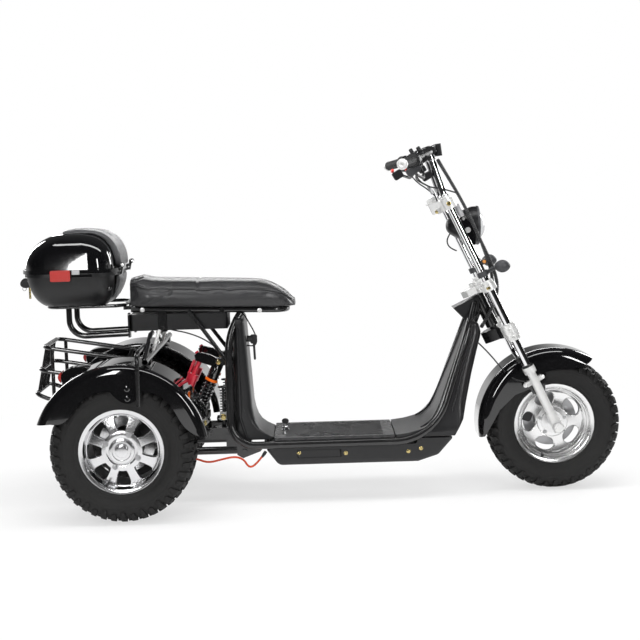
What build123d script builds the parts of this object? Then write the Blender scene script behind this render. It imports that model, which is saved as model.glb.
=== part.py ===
"""Three-wheel electric mobility scooter: welded tube frame, step-through floor, raked fork,
two rear wheels on one axle, long seat, rear basket and a lidded top box.

Millimetres. +X forward, +Y left, +Z up. The floor is Z = 0, and the origin lies under the middle
of the vehicle. RIGHT is -Y and LEFT is +Y.
"""
from build123d import *
from math import asin, atan2, cos, degrees, hypot, pi, radians, sin, tan
import os

os.makedirs("parts", exist_ok=True)

# ---------------------------------------------------------------- driving dimensions
RIGHT = -1
LEFT = 1

gap = 0.3                      # clearance between pieces that seat on each other

# wheels
rear_axle_x = -655.0
rear_tyre_radius = 242.0
rear_tyre_width = 205.0
rear_track_half = 293.0
front_axle_x = 813.0
front_tyre_radius = 235.0
front_tyre_width = 168.0
rim_lip_radius = 140.5         # 10 inch rims
rim_bead_radius = 127.0
rim_wall = 5.0

# steering
rake = 25.0                    # from the vertical, top leaning back
fork_half_spread = 118.0
fork_offset = 38.0             # legs ahead of the steering axis
fork_tube_d = 27.0
fork_slider_d = 30.0
fork_collar_d = 42.0
steer_tube_d = 44.0            # head tube
steer_stem_d = 26.0
lower_yoke_z = 349.0           # heights along the fork, from the front axle
lower_yoke_t = 40.0
middle_yoke_z = 528.0
middle_yoke_t = 23.0
top_yoke_z = 838.0
top_yoke_t = 38.0
yoke_tail = 50.0               # reach of each yoke behind the steering axis

# frame
frame_tube_d = 26.0
floor_tube_z = 205.0
floor_half = 150.0             # side tube centres beside the floor
post_half = 120.0              # side tube centres at the rear post
post_x = -311.0
floor_bend_r = 105.0
column_bend_r = 190.0
column_foot_x = 385.0
seat_rail_d = 20.0

# floor and panels
floor_top_z = 228.0
pan_bottom_z = 130.0
panel_t = 4.0
lid_rear_x = -165.0
lid_front_x = 252.0

# seat
seat_rear_x = -645.0
seat_half = 142.0

# rear
fender_r = 287.0
fender_t = 3.5
fender_out = 409.0             # outer face of the rear fender skirt, from the middle
fender_in = 186.0              # inner edge of the rear fender, from the middle
axle_tube_d = 60.0

# top box
box_seam_z = 815.0
box_wall = 4.0

steer = Plane(
    origin=(front_axle_x, 0, front_tyre_radius),
    x_dir=(cos(radians(rake)), 0, sin(radians(rake))),
    z_dir=(-sin(radians(rake)), 0, cos(radians(rake))),
)


def at_steer(x, y, z):
    """A point given along the fork, from the front axle, as a point of the vehicle."""
    return steer.from_local_coords(Vector(x, y, z))


def tube(points, radii, diameter, bore=0):
    """Round tube whose straight runs are joined by arcs of the given radii."""
    with BuildPart() as pipe:
        with BuildLine() as route:
            if len(points) == 2:
                Line(*points)
            else:
                FilletPolyline(*points, radius=radii)
        with BuildSketch(Plane(origin=route.line @ 0, z_dir=route.line % 0)):
            Circle(diameter / 2)
            if bore:
                Circle(bore / 2, mode=Mode.SUBTRACT)
        sweep(path=route.line)
    return pipe.part


def wheel_plane(x, y, z):
    """Plane through a wheel's middle: local x is across the vehicle, local y is up."""
    return Plane(origin=(x, y, z), x_dir=(0, 1, 0), z_dir=(1, 0, 0))


def axle_line(x, y, z):
    """The wheel's turning axis."""
    return Axis((x, y, z), (0, 1, 0))


# ---------------------------------------------------------------- main frame
rail_rear_z = 681.0
rail_front_z = 663.0
rail_front_x = -108.0
rail_half = 104.0

post_top_x = -268.0
post_top_z = rail_front_z - 9.0
side_route = [
    (post_top_x, -(post_half - 30), post_top_z),
    (post_x, -post_half, 590),
    (post_x, -(post_half + floor_half) / 2, 330),
    (post_x, -floor_half, floor_tube_z),
    (column_foot_x, -floor_half, floor_tube_z),
    (512, -78, 560),
    (549, -20, 674),
]
side_radii = [220, 600, floor_bend_r * 0.8, column_bend_r, 300]
side_tube = tube(side_route, side_radii, frame_tube_d)
side_room = tube(side_route, side_radii, frame_tube_d + 2 * gap)

shock_top = Vector(-347, 0, 491)
shock_low = Vector(-448, 0, 266)
shock_y = 90.0
head_low = lower_yoke_z + lower_yoke_t + 8
head_high = middle_yoke_z - 8
mount_z = 492.0                # cross member that carries the shocks
mount_tube_d = 28.0
down_tube_d = 32.0
down_foot = (440, 0, 330)
down_rise = (125, 0, 325)
pivot = (-266, 183)
pivot_plate_y = 138.0
cross_x = [lid_rear_x - 24, lid_front_x + 34]
cross_d = 22.0

with BuildPart() as main_frame:
    add(side_tube)
    mirror(about=Plane.XZ)
    with BuildSketch(steer.offset(head_low)):
        with Locations((-fork_offset, 0)):
            Circle(steer_tube_d / 2)
    extrude(amount=head_high - head_low)
    with BuildSketch(Plane(origin=down_foot, z_dir=down_rise)):
        Circle(down_tube_d / 2)
    extrude(amount=Vector(*down_rise).length)
    for x in cross_x:
        with BuildSketch(Plane(origin=(x, floor_half, floor_tube_z), z_dir=(0, -1, 0))):
            Circle(cross_d / 2)
        extrude(amount=2 * floor_half)
    with BuildSketch(Plane(origin=(post_x, post_half, mount_z), z_dir=(0, -1, 0))):
        Circle(mount_tube_d / 2)
    extrude(amount=2 * post_half)
    for side in (RIGHT, LEFT):
        with BuildSketch(Plane.XZ.offset(-side * pivot_plate_y - 3)):
            Polygon(
                (-292, 232), (-292, 172), (-272, 160), (-212, 182), (-196, 200), (-240, 216),
                align=None,
            )
        extrude(amount=6)
    with BuildSketch(Plane(origin=(pivot[0], pivot_plate_y + 10, pivot[1]), z_dir=(0, -1, 0))):
        Circle(9)
    extrude(amount=2 * pivot_plate_y + 20)
    # ears for the shocks' upper eyes
    for y in (-shock_y - 17, -shock_y + 17, shock_y - 17, shock_y + 17):
        with BuildSketch(Plane.XZ.offset(-y - 2)):
            with BuildLine():
                Polyline((post_x, mount_z - 12), (shock_top.X, shock_top.Z - 12))
                RadiusArc((shock_top.X, shock_top.Z - 12), (shock_top.X, shock_top.Z + 12), 12)
                Polyline((shock_top.X, shock_top.Z + 12), (post_x, mount_z + 12), (post_x, mount_z - 12))
            make_face()
        extrude(amount=4)
    # bore of the steering head
    with BuildSketch(steer.offset(head_low - 1)):
        with Locations((-fork_offset, 0)):
            Circle(steer_stem_d / 2 + 1.5)
    extrude(amount=head_high - head_low + 2, mode=Mode.SUBTRACT)
main_frame.part.label = "main_frame"
export_step(main_frame.part, "parts/main_frame.step")

# ---------------------------------------------------------------- seat frame
rail_rear_x = -640.0
strut_d = 14.0
strut_top = (-444, -rail_half + 2, 672)
strut_foot = (post_x - 2, -post_half, mount_z - 4)
rail_route = [
    (rail_rear_x, -rail_half, rail_rear_z),
    (rail_front_x, -rail_half * 0.75, rail_front_z),
    (rail_front_x, rail_half * 0.75, rail_front_z),
    (rail_rear_x, rail_half, rail_rear_z),
]
rail = tube(rail_route, [55, 55], seat_rail_d)
rail_room = tube(rail_route, [55, 55], seat_rail_d + 2 * gap)
strut = tube([strut_top, strut_foot], [], strut_d)
strut_room = tube([strut_top, strut_foot], [], strut_d + 2 * gap)
with BuildPart() as seat_frame:
    add(rail)
    for x in (rail_rear_x + 12, -330):
        z = rail_rear_z + (rail_front_z - rail_rear_z) * (x - rail_rear_x) / (rail_front_x - rail_rear_x)
        with BuildSketch(Plane(origin=(x, rail_half - 2, z), z_dir=(0, -1, 0))):
            Circle(seat_rail_d / 2 - 1)
        extrude(amount=2 * rail_half - 4)
    for piece in (strut, strut.mirror(Plane.XZ)):
        add(piece)
    for piece in (side_room, side_room.mirror(Plane.XZ)):
        add(piece, mode=Mode.SUBTRACT)
    with BuildSketch(Plane(origin=(post_x, post_half + 20, mount_z), z_dir=(0, -1, 0))):
        Circle(mount_tube_d / 2 + gap)
    extrude(amount=2 * post_half + 40, mode=Mode.SUBTRACT)
seat_frame.part.label = "seat_frame"
export_step(seat_frame.part, "parts/seat_frame.step")

# ---------------------------------------------------------------- floor, pan and covers
pan_half = 147.0
pan_front_x = 448.0
with BuildPart() as belly_pan:
    with BuildSketch(Plane.XZ.offset(-pan_half)):
        with BuildLine():
            Polyline(
                (-192, floor_tube_z + 8), (-192, 186), (-150, pan_bottom_z), (330, pan_bottom_z),
                (400, 152), (pan_front_x, 205), (pan_front_x, floor_tube_z + 8), close=True,
            )
        make_face()
    extrude(amount=2 * pan_half)
    fillet(edges().filter_by(Axis.Y).filter_by(lambda e: e.center().Z < 190), 28)
    fillet(edges().filter_by(lambda e: e.center().Z < pan_bottom_z + 1 and abs(e.center().Y) > 60), 18)
    # battery bay
    with BuildSketch(Plane.XY.offset(pan_bottom_z + panel_t)):
        with Locations(((lid_rear_x + lid_front_x) / 2 + 5, 0)):
            RectangleRounded(lid_front_x - lid_rear_x - 12, 2 * (pan_half - 16), 12)
    extrude(amount=200, mode=Mode.SUBTRACT)
    for piece in (side_room, side_room.mirror(Plane.XZ)):
        add(piece, mode=Mode.SUBTRACT)
    for x in cross_x:
        with BuildSketch(Plane(origin=(x, 200, floor_tube_z), z_dir=(0, -1, 0))):
            SlotCenterToCenter(60, cross_d + 2 * gap, rotation=90)
        extrude(amount=400, mode=Mode.SUBTRACT)
belly_pan.part.label = "belly_pan"
export_step(belly_pan.part, "parts/belly_pan.step")

# ---------------------------------------------------------------- bay lid
lid_half = 148.0
lid_z = floor_tube_z + frame_tube_d / 2 + gap + 0.4
with BuildPart() as bay_lid:
    with BuildSketch(Plane.XY.offset(lid_z)):
        with Locations(((lid_rear_x + lid_front_x) / 2, 0)):
            RectangleRounded(lid_front_x - lid_rear_x - 2, 2 * lid_half, 6)
    extrude(amount=floor_top_z - lid_z)
    fillet(edges().filter_by(lambda e: e.center().Z > floor_top_z - 0.1), 3)
bay_lid.part.label = "bay_lid"
export_step(bay_lid.part, "parts/bay_lid.step")

with BuildPart() as bay_lock:
    with BuildSketch(Plane.XY.offset(floor_top_z + gap)):
        with Locations((lid_rear_x + 38, 0)):
            Circle(14)
    extrude(amount=6)
    with BuildSketch(Plane.XY.offset(floor_top_z + gap + 6)):
        with Locations((lid_rear_x + 38, 0)):
            Circle(10)
    extrude(amount=16)
    with BuildSketch(Plane.XY.offset(floor_top_z + gap + 22)):
        with Locations((lid_rear_x + 38, 0)):
            RectangleRounded(40, 9, 4)
    extrude(amount=20)
bay_lock.part.label = "bay_lock"
export_step(bay_lock.part, "parts/bay_lock.step")

with BuildPart() as battery:
    with BuildSketch(Plane.XY.offset(pan_bottom_z + panel_t + gap)):
        with Locations((40, 0)):
            RectangleRounded(330, 232, 8)
    extrude(amount=66)
battery.part.label = "battery"
export_step(battery.part, "parts/battery.step")

# ---------------------------------------------------------------- rear post cover
cover_half = 122.0
with BuildPart() as post_cover:
    with BuildSketch(Plane.XZ.offset(-cover_half)):
        with BuildLine():
            Polyline(
                (lid_rear_x - 1, floor_top_z), (lid_rear_x - 1, lid_z), (post_x + 15, lid_z),
                (post_x + 15, post_top_z - 14), (post_x + 44, post_top_z - 14), (-256, 618),
                (-238, 330),
            )
            ThreePointArc((-238, 330), (-218, 262), (lid_rear_x - 1, floor_top_z))
        make_face()
    extrude(amount=2 * cover_half)
    for piece in (side_room, side_room.mirror(Plane.XZ)):
        add(piece, mode=Mode.SUBTRACT)
post_cover.part.label = "post_cover"
export_step(post_cover.part, "parts/post_cover.step")

# ---------------------------------------------------------------- column cover
rise = (512 - column_foot_x, 560 - floor_tube_z)
column_plane = Plane(
    origin=(column_foot_x, 0, floor_tube_z), x_dir=(0, 1, 0), z_dir=(rise[1], 0, -rise[0])
)
column_length = hypot(*rise)
with BuildPart() as column_cover:
    with BuildSketch(Plane.XZ.offset(-floor_half)):
        with BuildLine():
            Polyline(
                (405, 307), (460, 443), (509, 568), (520, 596), (553, 596), (563, 560), (524, 422),
                (488, 270), (pan_front_x + 1, 203),
            )
            Polyline(
                (pan_front_x + 1, 203), (pan_front_x + 1, lid_z), (lid_front_x + 1, lid_z),
                (lid_front_x + 1, floor_top_z),
            )
            ThreePointArc((lid_front_x + 1, floor_top_z), (350, 243), (405, 307))
        make_face()
    extrude(amount=2 * floor_half)
    for side in (RIGHT, LEFT):
        with BuildSketch(column_plane):
            Polygon(
                (side * floor_half, -200), (side * floor_half, 40),
                (side * 74, column_length + 20), (side * 60, column_length + 200),
                (side * 300, column_length + 200), (side * 300, -200), align=None,
            )
        extrude(amount=400, both=True, mode=Mode.SUBTRACT)
    for piece in (side_room, side_room.mirror(Plane.XZ)):
        add(piece, mode=Mode.SUBTRACT)
    with BuildSketch(Plane(origin=down_foot, z_dir=down_rise).offset(-2)):
        Circle(down_tube_d / 2 + gap)
    extrude(amount=400, mode=Mode.SUBTRACT)
    with BuildSketch(Plane(origin=(cross_x[1], 200, floor_tube_z), z_dir=(0, -1, 0))):
        Circle(cross_d / 2 + gap)
    extrude(amount=400, mode=Mode.SUBTRACT)
column_cover.part.label = "column_cover"
export_step(column_cover.part, "parts/column_cover.step")

# ---------------------------------------------------------------- seat
def seat_low(x):
    """Underside of the cushion, resting on the rail."""
    fall = (rail_front_z - rail_rear_z) / (rail_front_x - rail_rear_x)
    return rail_rear_z + fall * (x - rail_rear_x) + seat_rail_d / 2 + gap


with BuildPart() as seat:
    with BuildSketch(Plane.XZ.offset(-seat_half)):
        with BuildLine():
            Polyline(
                (-100, seat_low(-100)), (seat_rear_x, seat_low(seat_rear_x)), (seat_rear_x, 772),
                (-636, 798), (-622, 792), (-566, 776),
            )
            Spline(
                (-566, 776), (-409, 769), (-270, 764), (-182, 758), (-130, 742), (-96, 720),
                (-76, 691), (-100, seat_low(-100)),
            )
        make_face()
    extrude(amount=2 * seat_half)
    with BuildSketch(Plane.XY.offset(600)):
        with BuildLine():
            Polyline(
                (seat_rear_x - 5, 0), (seat_rear_x - 5, -105), (seat_rear_x + 35, -seat_half),
                (-420, -seat_half),
            )
            Spline(
                (-420, -seat_half), (-250, -118), (-130, -95), (-85, -50), (-72, 0),
                tangents=[(1, 0), (0, 1)],
            )
            Line((-72, 0), (seat_rear_x - 5, 0))
        make_face()
        mirror(about=Plane.XZ)
    extrude(amount=300, mode=Mode.INTERSECT)
seat.part.label = "seat_cushion"
export_step(seat.part, "parts/seat_cushion.step")

with BuildPart() as seat_box:
    with BuildSketch(Plane.XY.offset(604)):
        with Locations((-480.5, 0)):
            RectangleRounded(335, 2 * (rail_half - 20), 10)
    extrude(amount=56)
seat_box.part.label = "seat_box"
export_step(seat_box.part, "parts/seat_box.step")

strap_x = -536.0
strap_w = 30.0
strap_t = 3.0
with BuildPart() as seat_box_straps:
    with BuildSketch(Plane.YZ.offset(strap_x - strap_w / 2)):
        with Locations((0, 637)):
            Rectangle(2 * (rail_half - 20 + gap + strap_t), 72 + strap_t)
            Rectangle(2 * (rail_half - 20 + gap), 72 + strap_t, mode=Mode.SUBTRACT)
        with Locations((0, 604 - gap - strap_t / 2)):
            Rectangle(2 * (rail_half - 20 + gap + strap_t), strap_t)
        for side in (RIGHT, LEFT):
            with Locations((side * (rail_half - 16), 668)):
                Rectangle(14, 12)
    extrude(amount=strap_w)
    for piece in (rail_room, strut_room, strut_room.mirror(Plane.XZ)):
        add(piece, mode=Mode.SUBTRACT)
seat_box_straps.part.label = "seat_box_straps"
export_step(seat_box_straps.part, "parts/seat_box_straps.step")

# ---------------------------------------------------------------- swing arm and rear axle
arm_half = 106.0
arm_tube_d = 27.0
beam_z = 236.0
with BuildPart() as swing_arm:
    for y in (-shock_y - 17, -shock_y + 17, shock_y - 17, shock_y + 17):
        with BuildSketch(Plane.XZ.offset(-y - 2)):
            with Locations((shock_low.X, shock_low.Z - 8)):
                SlotCenterToCenter(16, 24, rotation=90)
        extrude(amount=4)
    for side in (RIGHT, LEFT):
        with BuildSketch(Plane(origin=(pivot[0], side * arm_half, pivot[1]), z_dir=(-1, 0, 0))):
            Circle(arm_tube_d / 2)
        extrude(amount=-rear_axle_x + pivot[0] - 20)
        with BuildSketch(Plane.XZ.offset(-side * shock_y - 19)):
            with Locations(((rear_axle_x - 300) / 2, beam_z)):
                Rectangle(-300 - rear_axle_x, 28)
        extrude(amount=38)
        with BuildSketch(Plane.XZ.offset(-side * arm_half - 5)):
            Polygon(
                (rear_axle_x, 172), (rear_axle_x, 250), (rear_axle_x + 70, 230),
                (rear_axle_x + 70, 180), align=None,
            )
            Polygon((-330, 180), (-330, 240), (-300, 240), (-290, 180), align=None)
        extrude(amount=10)
        with BuildSketch(Plane.XY.offset(beam_z + 10)):
            with Locations((-338, side * arm_half)):
                Rectangle(72, 44)
        extrude(amount=20)
    with BuildSketch(Plane(origin=(pivot[0], pivot_plate_y - 4, pivot[1]), z_dir=(0, -1, 0))):
        Circle(18)
    extrude(amount=2 * pivot_plate_y - 8)
    with BuildSketch(Plane(origin=(pivot[0], pivot_plate_y, pivot[1]), z_dir=(0, -1, 0))):
        Circle(9 + gap)
    extrude(amount=2 * pivot_plate_y, mode=Mode.SUBTRACT)
    with BuildSketch(Plane(origin=(rear_axle_x, 300, rear_tyre_radius), z_dir=(0, -1, 0))):
        Circle(axle_tube_d / 2 + gap)
    extrude(amount=600, mode=Mode.SUBTRACT)
swing_arm.part.label = "swing_arm"
export_step(swing_arm.part, "parts/swing_arm.step")

stub_d = 25.0
axle_half = rear_track_half - 118
hub_gap = 0.05
with BuildPart() as rear_axle:
    for a, d in ((axle_half, axle_tube_d), (rear_track_half + 60, stub_d)):
        with BuildSketch(Plane(origin=(rear_axle_x, a, rear_tyre_radius), z_dir=(0, -1, 0))):
            Circle(d / 2)
        extrude(amount=2 * a)
    with BuildSketch(Plane(origin=(rear_axle_x, 68, rear_tyre_radius), z_dir=(0, -1, 0))):
        Circle(66)
    extrude(amount=136)
rear_axle.part.label = "rear_axle"
export_step(rear_axle.part, "parts/rear_axle.step")

# ---------------------------------------------------------------- wheels
lug_count = 56                 # shoulder lugs, half of them on each side
lug_height = 10.0


def wheel_tyre(centre, radius, width, rim_half):
    """Tyre built of equal wedges, each with a lug on one shoulder, seated between the rim's lips."""
    seat_r = rim_bead_radius + gap
    lip_r = rim_lip_radius + 2
    tread_r = radius - lug_height
    half = width / 2
    bulge_r = (lip_r + tread_r) / 2
    half_step = pi / lug_count
    sector = 2 * radius
    wedges = []
    for lug in (RIGHT, LEFT):
        with BuildPart() as wedge:
            with BuildSketch(wheel_plane(*centre)):
                Polygon(
                    (-rim_half + 6, seat_r), (-rim_half + 6, lip_r), (-half + 1, bulge_r),
                    (-half + 14, tread_r - 3),
                    (half - 14, tread_r - 3), (half - 1, bulge_r), (rim_half - 6, lip_r),
                    (rim_half - 6, seat_r),
                    align=None,
                )
                Polygon(
                    (lug * (half - 3), bulge_r + 16), (lug * (half - 9), radius - 8),
                    (lug * (half - 38), radius),
                    (-lug * 6, radius), (-lug * 6, tread_r - 8), (lug * 30, bulge_r), align=None,
                )
            extrude(amount=radius * tan(half_step) + 1, both=True)
            across = Plane(
                origin=(centre[0], centre[1] + width, centre[2]), x_dir=(1, 0, 0), z_dir=(0, -1, 0),
            )
            with BuildSketch(across):
                Polygon(
                    (0, 0), (sector * tan(half_step), sector), (-sector * tan(half_step), sector),
                    align=None,
                )
            extrude(amount=2 * width, mode=Mode.INTERSECT)
        wedges.append(wedge.part)
    with BuildPart() as ring:
        add([wedges[i % 2].rotate(axle_line(*centre), 360 * i / lug_count) for i in range(lug_count)])
    return ring.part


def rim_window(count, inner, outer):
    """One rounded window between two spokes, about the local x axis."""
    half = pi / count * 0.72
    foot = half * 0.55
    with BuildSketch() as window:
        with BuildLine():
            Polyline(
                (outer * cos(half), -outer * sin(half)), (inner * cos(foot), -inner * sin(foot)),
                (inner * cos(foot), inner * sin(foot)), (outer * cos(half), outer * sin(half)),
            )
            ThreePointArc(
                (outer * cos(half), outer * sin(half)), (outer, 0), (outer * cos(half), -outer * sin(half))
            )
        make_face()
        fillet(window.vertices(), inner * sin(foot) * 0.8)
    return window.sketch


def wheel_rim(centre, rim_half, face, face_t, windows, window_r, out, hub_end, bore_end):
    """Rim with its barrel, lips, spoked face, hub and cap. out is the side of the spoked face."""
    plane = wheel_plane(*centre)
    with BuildPart() as rim:
        with BuildSketch(plane):
            with BuildLine():
                Polyline(
                    (-rim_half, rim_lip_radius), (-rim_half, rim_bead_radius - rim_wall),
                    (rim_half, rim_bead_radius - rim_wall), (rim_half, rim_lip_radius),
                    (rim_half - 5, rim_lip_radius), (rim_half - 5, rim_bead_radius),
                    (-rim_half + 5, rim_bead_radius), (-rim_half + 5, rim_lip_radius), close=True,
                )
            make_face()
            with Locations((out * (face - face_t / 2), (rim_bead_radius - 2) / 2)):
                Rectangle(face_t, rim_bead_radius - 2)
            with Locations((out * (face + 6 + hub_end) / 2, 20)):
                Rectangle(face + 6 - hub_end, 40)
            with Locations((out * (hub_end + 4), 30)):
                Rectangle(8, 60)
        revolve(axis=axle_line(*centre))
        face_plane = Plane(origin=centre, x_dir=(1, 0, 0), z_dir=(0, -1, 0))
        with BuildSketch(face_plane.offset(-out * face)) as holes:
            with PolarLocations(0, windows, start_angle=90):
                add(rim_window(windows, *window_r))
        extrude(amount=40, both=True, mode=Mode.SUBTRACT)
        with BuildSketch(Plane(origin=centre, z_dir=(0, out, 0)).offset(-200)):
            Circle(stub_d / 2 + hub_gap)
        extrude(amount=200 + bore_end, mode=Mode.SUBTRACT)
    return rim.part


rear_centre = {
    "right": (rear_axle_x, -rear_track_half, rear_tyre_radius),
    "left": (rear_axle_x, rear_track_half, rear_tyre_radius),
}
front_centre = (front_axle_x, 0, front_tyre_radius)
rear_rim_half = 88.0
front_rim_half = 66.0

for side_name, out in (("right", RIGHT), ("left", LEFT)):
    centre = rear_centre[side_name]
    tyre = wheel_tyre(centre, rear_tyre_radius, rear_tyre_width, rear_rim_half)
    tyre.label = f"tyre_rear_{side_name}"
    export_step(tyre, f"parts/tyre_rear_{side_name}.step")
    rim = wheel_rim(centre, rear_rim_half, 68.0, 16.0, 8, (66, 117), out, -57.7, 60.5)
    rim.label = f"rim_rear_{side_name}"
    export_step(rim, f"parts/rim_rear_{side_name}.step")

tyre = wheel_tyre(front_centre, front_tyre_radius, front_tyre_width, front_rim_half)
tyre.label = "tyre_front"
export_step(tyre, "parts/tyre_front.step")
rim = wheel_rim(front_centre, front_rim_half, 20.0, 16.0, 5, (52, 104), RIGHT, -37.7, 200)
rim.label = "rim_front"
export_step(rim, "parts/rim_front.step")

# ---------------------------------------------------------------- fork
with BuildPart() as fork_yokes:
    # lower yoke with its clamping bosses
    for z, t, tail_w in ((lower_yoke_z, lower_yoke_t, 52), (middle_yoke_z, middle_yoke_t, 60)):
        with BuildSketch(steer.offset(z)):
            with BuildLine():
                Polyline(
                    (-fork_offset - yoke_tail, -8), (-fork_offset - yoke_tail, 8),
                    (-fork_offset - yoke_tail + 18, tail_w / 2),
                    (-fork_offset, 46), (-6, fork_half_spread), (20, fork_half_spread - 10),
                    (20, -fork_half_spread + 10), (-6, -fork_half_spread), (-fork_offset, -46),
                    (-fork_offset - yoke_tail + 18, -tail_w / 2), close=True,
                )
            make_face()
            with Locations((0, -fork_half_spread), (0, fork_half_spread)):
                Circle(26)
        extrude(amount=t)
    with BuildSketch(steer.offset(lower_yoke_z - 12)):
        with Locations((0, -fork_half_spread), (0, fork_half_spread)):
            Circle(24)
    extrude(amount=60)
    # steering stem through the head
    with BuildSketch(steer.offset(lower_yoke_z)):
        with Locations((-fork_offset, 0)):
            Circle(steer_stem_d / 2)
    extrude(amount=middle_yoke_z - lower_yoke_z + middle_yoke_t + 14)
    # top yoke
    with BuildSketch(steer.offset(top_yoke_z)):
        with BuildLine():
            Polyline(
                (-fork_offset - 16, -30), (-fork_offset - 16, 30), (-20, fork_half_spread - 6),
                (16, fork_half_spread - 6), (16, -fork_half_spread + 6),
                (-20, -fork_half_spread + 6), close=True,
            )
        make_face()
        with Locations((0, -fork_half_spread), (0, fork_half_spread)):
            Circle(24)
    extrude(amount=top_yoke_t)
    with BuildSketch(steer.offset(200)):
        with Locations((0, -fork_half_spread), (0, fork_half_spread)):
            Circle(fork_tube_d / 2 + gap)
    extrude(amount=800, mode=Mode.SUBTRACT)
fork_yokes.part.label = "fork_yokes"
export_step(fork_yokes.part, "parts/fork_yokes.step")

slider_top = 232.0
ff_half = front_tyre_width / 2 + 9
with BuildPart() as fork_tubes:
    with BuildSketch(steer.offset(slider_top + gap)):
        with Locations((0, -fork_half_spread), (0, fork_half_spread)):
            Circle(fork_tube_d / 2)
    extrude(amount=top_yoke_z + top_yoke_t + 2 - slider_top)
fork_tubes.part.label = "fork_tubes"
export_step(fork_tubes.part, "parts/fork_tubes.step")

with BuildPart() as fork_sliders:
    for z, d, h in (
        (-18, 36, 72), (54, fork_slider_d, slider_top - 54), (slider_top - 24, fork_collar_d, 24),
    ):
        with BuildSketch(steer.offset(z)):
            with Locations((0, -fork_half_spread), (0, fork_half_spread)):
                Circle(d / 2)
        extrude(amount=h)
    for side in (RIGHT, LEFT):
        with BuildSketch(Plane.XZ.offset(-side * (ff_half + gap))):
            Polygon((705, 386), (716, 372), (772, 402), (764, 414), align=None)
        extrude(amount=-side * (fork_half_spread - ff_half - gap - 8))
    with BuildSketch(Plane(origin=front_centre, z_dir=(0, -1, 0)).offset(-200)):
        Circle(stub_d / 2 + gap)
    extrude(amount=400, mode=Mode.SUBTRACT)
fork_sliders.part.label = "fork_sliders"
export_step(fork_sliders.part, "parts/fork_sliders.step")

with BuildPart() as front_axle:
    for d, half in ((stub_d, fork_half_spread + 24), (stub_d + 14, 0)):
        if half:
            with BuildSketch(Plane(origin=front_centre, z_dir=(0, -1, 0)).offset(-half)):
                Circle(d / 2)
            extrude(amount=2 * half)
    for side in (RIGHT, LEFT):
        nut_plane = Plane(origin=front_centre, z_dir=(0, side, 0))
        with BuildSketch(nut_plane.offset(fork_half_spread + 18 + gap)):
            RegularPolygon(19, 6)
        extrude(amount=12)
front_axle.part.label = "front_axle"
export_step(front_axle.part, "parts/front_axle.step")


# ---------------------------------------------------------------- fenders
def arc_plane(centre, angle):
    """Plane holding the wheel's axis and the radius at this angle, up and forward being positive."""
    a = radians(angle)
    return Plane(origin=centre, x_dir=(0, 1, 0), z_dir=(sin(a), 0, -cos(a)))


for side_name, out in (("right", RIGHT), ("left", LEFT)):
    centre = (rear_axle_x, 0, rear_tyre_radius)
    with BuildPart() as fender:
        with BuildSketch(arc_plane(centre, 5)):
            with BuildLine():
                FilletPolyline(
                    (out * fender_in, fender_r - 24), (out * fender_in, fender_r),
                    (out * fender_out, fender_r),
                    (out * fender_out, 160), radius=[10, 30],
                )
                FilletPolyline(
                    (out * (fender_out - fender_t), 160),
                    (out * (fender_out - fender_t), fender_r - fender_t),
                    (out * (fender_in + fender_t), fender_r - fender_t),
                    (out * (fender_in + fender_t), fender_r - 24),
                    radius=[26.5, 7],
                )
                Line((out * fender_out, 160), (out * (fender_out - fender_t), 160))
                Line((out * (fender_in + fender_t), fender_r - 24), (out * fender_in, fender_r - 24))
            make_face()
        revolve(axis=Axis(centre, (0, -1, 0)), revolution_arc=155)
        with BuildSketch(Plane.XZ.offset(-out * 300)):
            with BuildLine():
                Polyline((-330, 100), (-330, 281), (-372, 286))
                Spline((-372, 286), (-410, 297), (-441, 321), (-481, 387), (-518, 424), (-575, 442))
                Spline((-575, 442), (-600, 412), (-625, 405), (-650, 415), (-678, 445))
                Spline((-678, 445), (-720, 443), (-782, 406), (-820, 358), (-876, 344))
                Polyline((-876, 344), (-960, 338), (-960, 100), (-330, 100))
            make_face()
        extrude(amount=-out * 200, mode=Mode.SUBTRACT)
    fender.part.label = f"fender_rear_{side_name}"
    export_step(fender.part, f"parts/fender_rear_{side_name}.step")

with BuildPart() as front_fender:
    with BuildSketch(arc_plane(front_centre, 59)):
        with BuildLine():
            FilletPolyline(
                (-ff_half, 105), (-ff_half, 266), (ff_half, 266), (ff_half, 105), radius=[40, 40],
            )
            Line((ff_half, 105), (ff_half - 3, 105))
            FilletPolyline(
                (ff_half - 3, 105), (ff_half - 3, 263), (-ff_half + 3, 263), (-ff_half + 3, 105),
                radius=[37, 37],
            )
            Line((-ff_half + 3, 105), (-ff_half, 105))
        make_face()
    revolve(axis=Axis(front_centre, (0, -1, 0)), revolution_arc=130)
    with BuildSketch(Plane.XZ.offset(-300)):
        with BuildLine():
            Polyline(
                (545, 60), (545, 192), (568, 200), (620, 292), (673, 343), (725, 363), (735, 345),
                (777, 340), (780, 421),
            )
            Spline((780, 421), (830, 429), (884, 431), (926, 445), (958, 474))
            Polyline((958, 474), (1100, 474), (1100, 60), (545, 60))
        make_face()
    extrude(amount=600, mode=Mode.SUBTRACT)
front_fender.part.label = "front_fender"
export_step(front_fender.part, "parts/front_fender.step")

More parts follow.
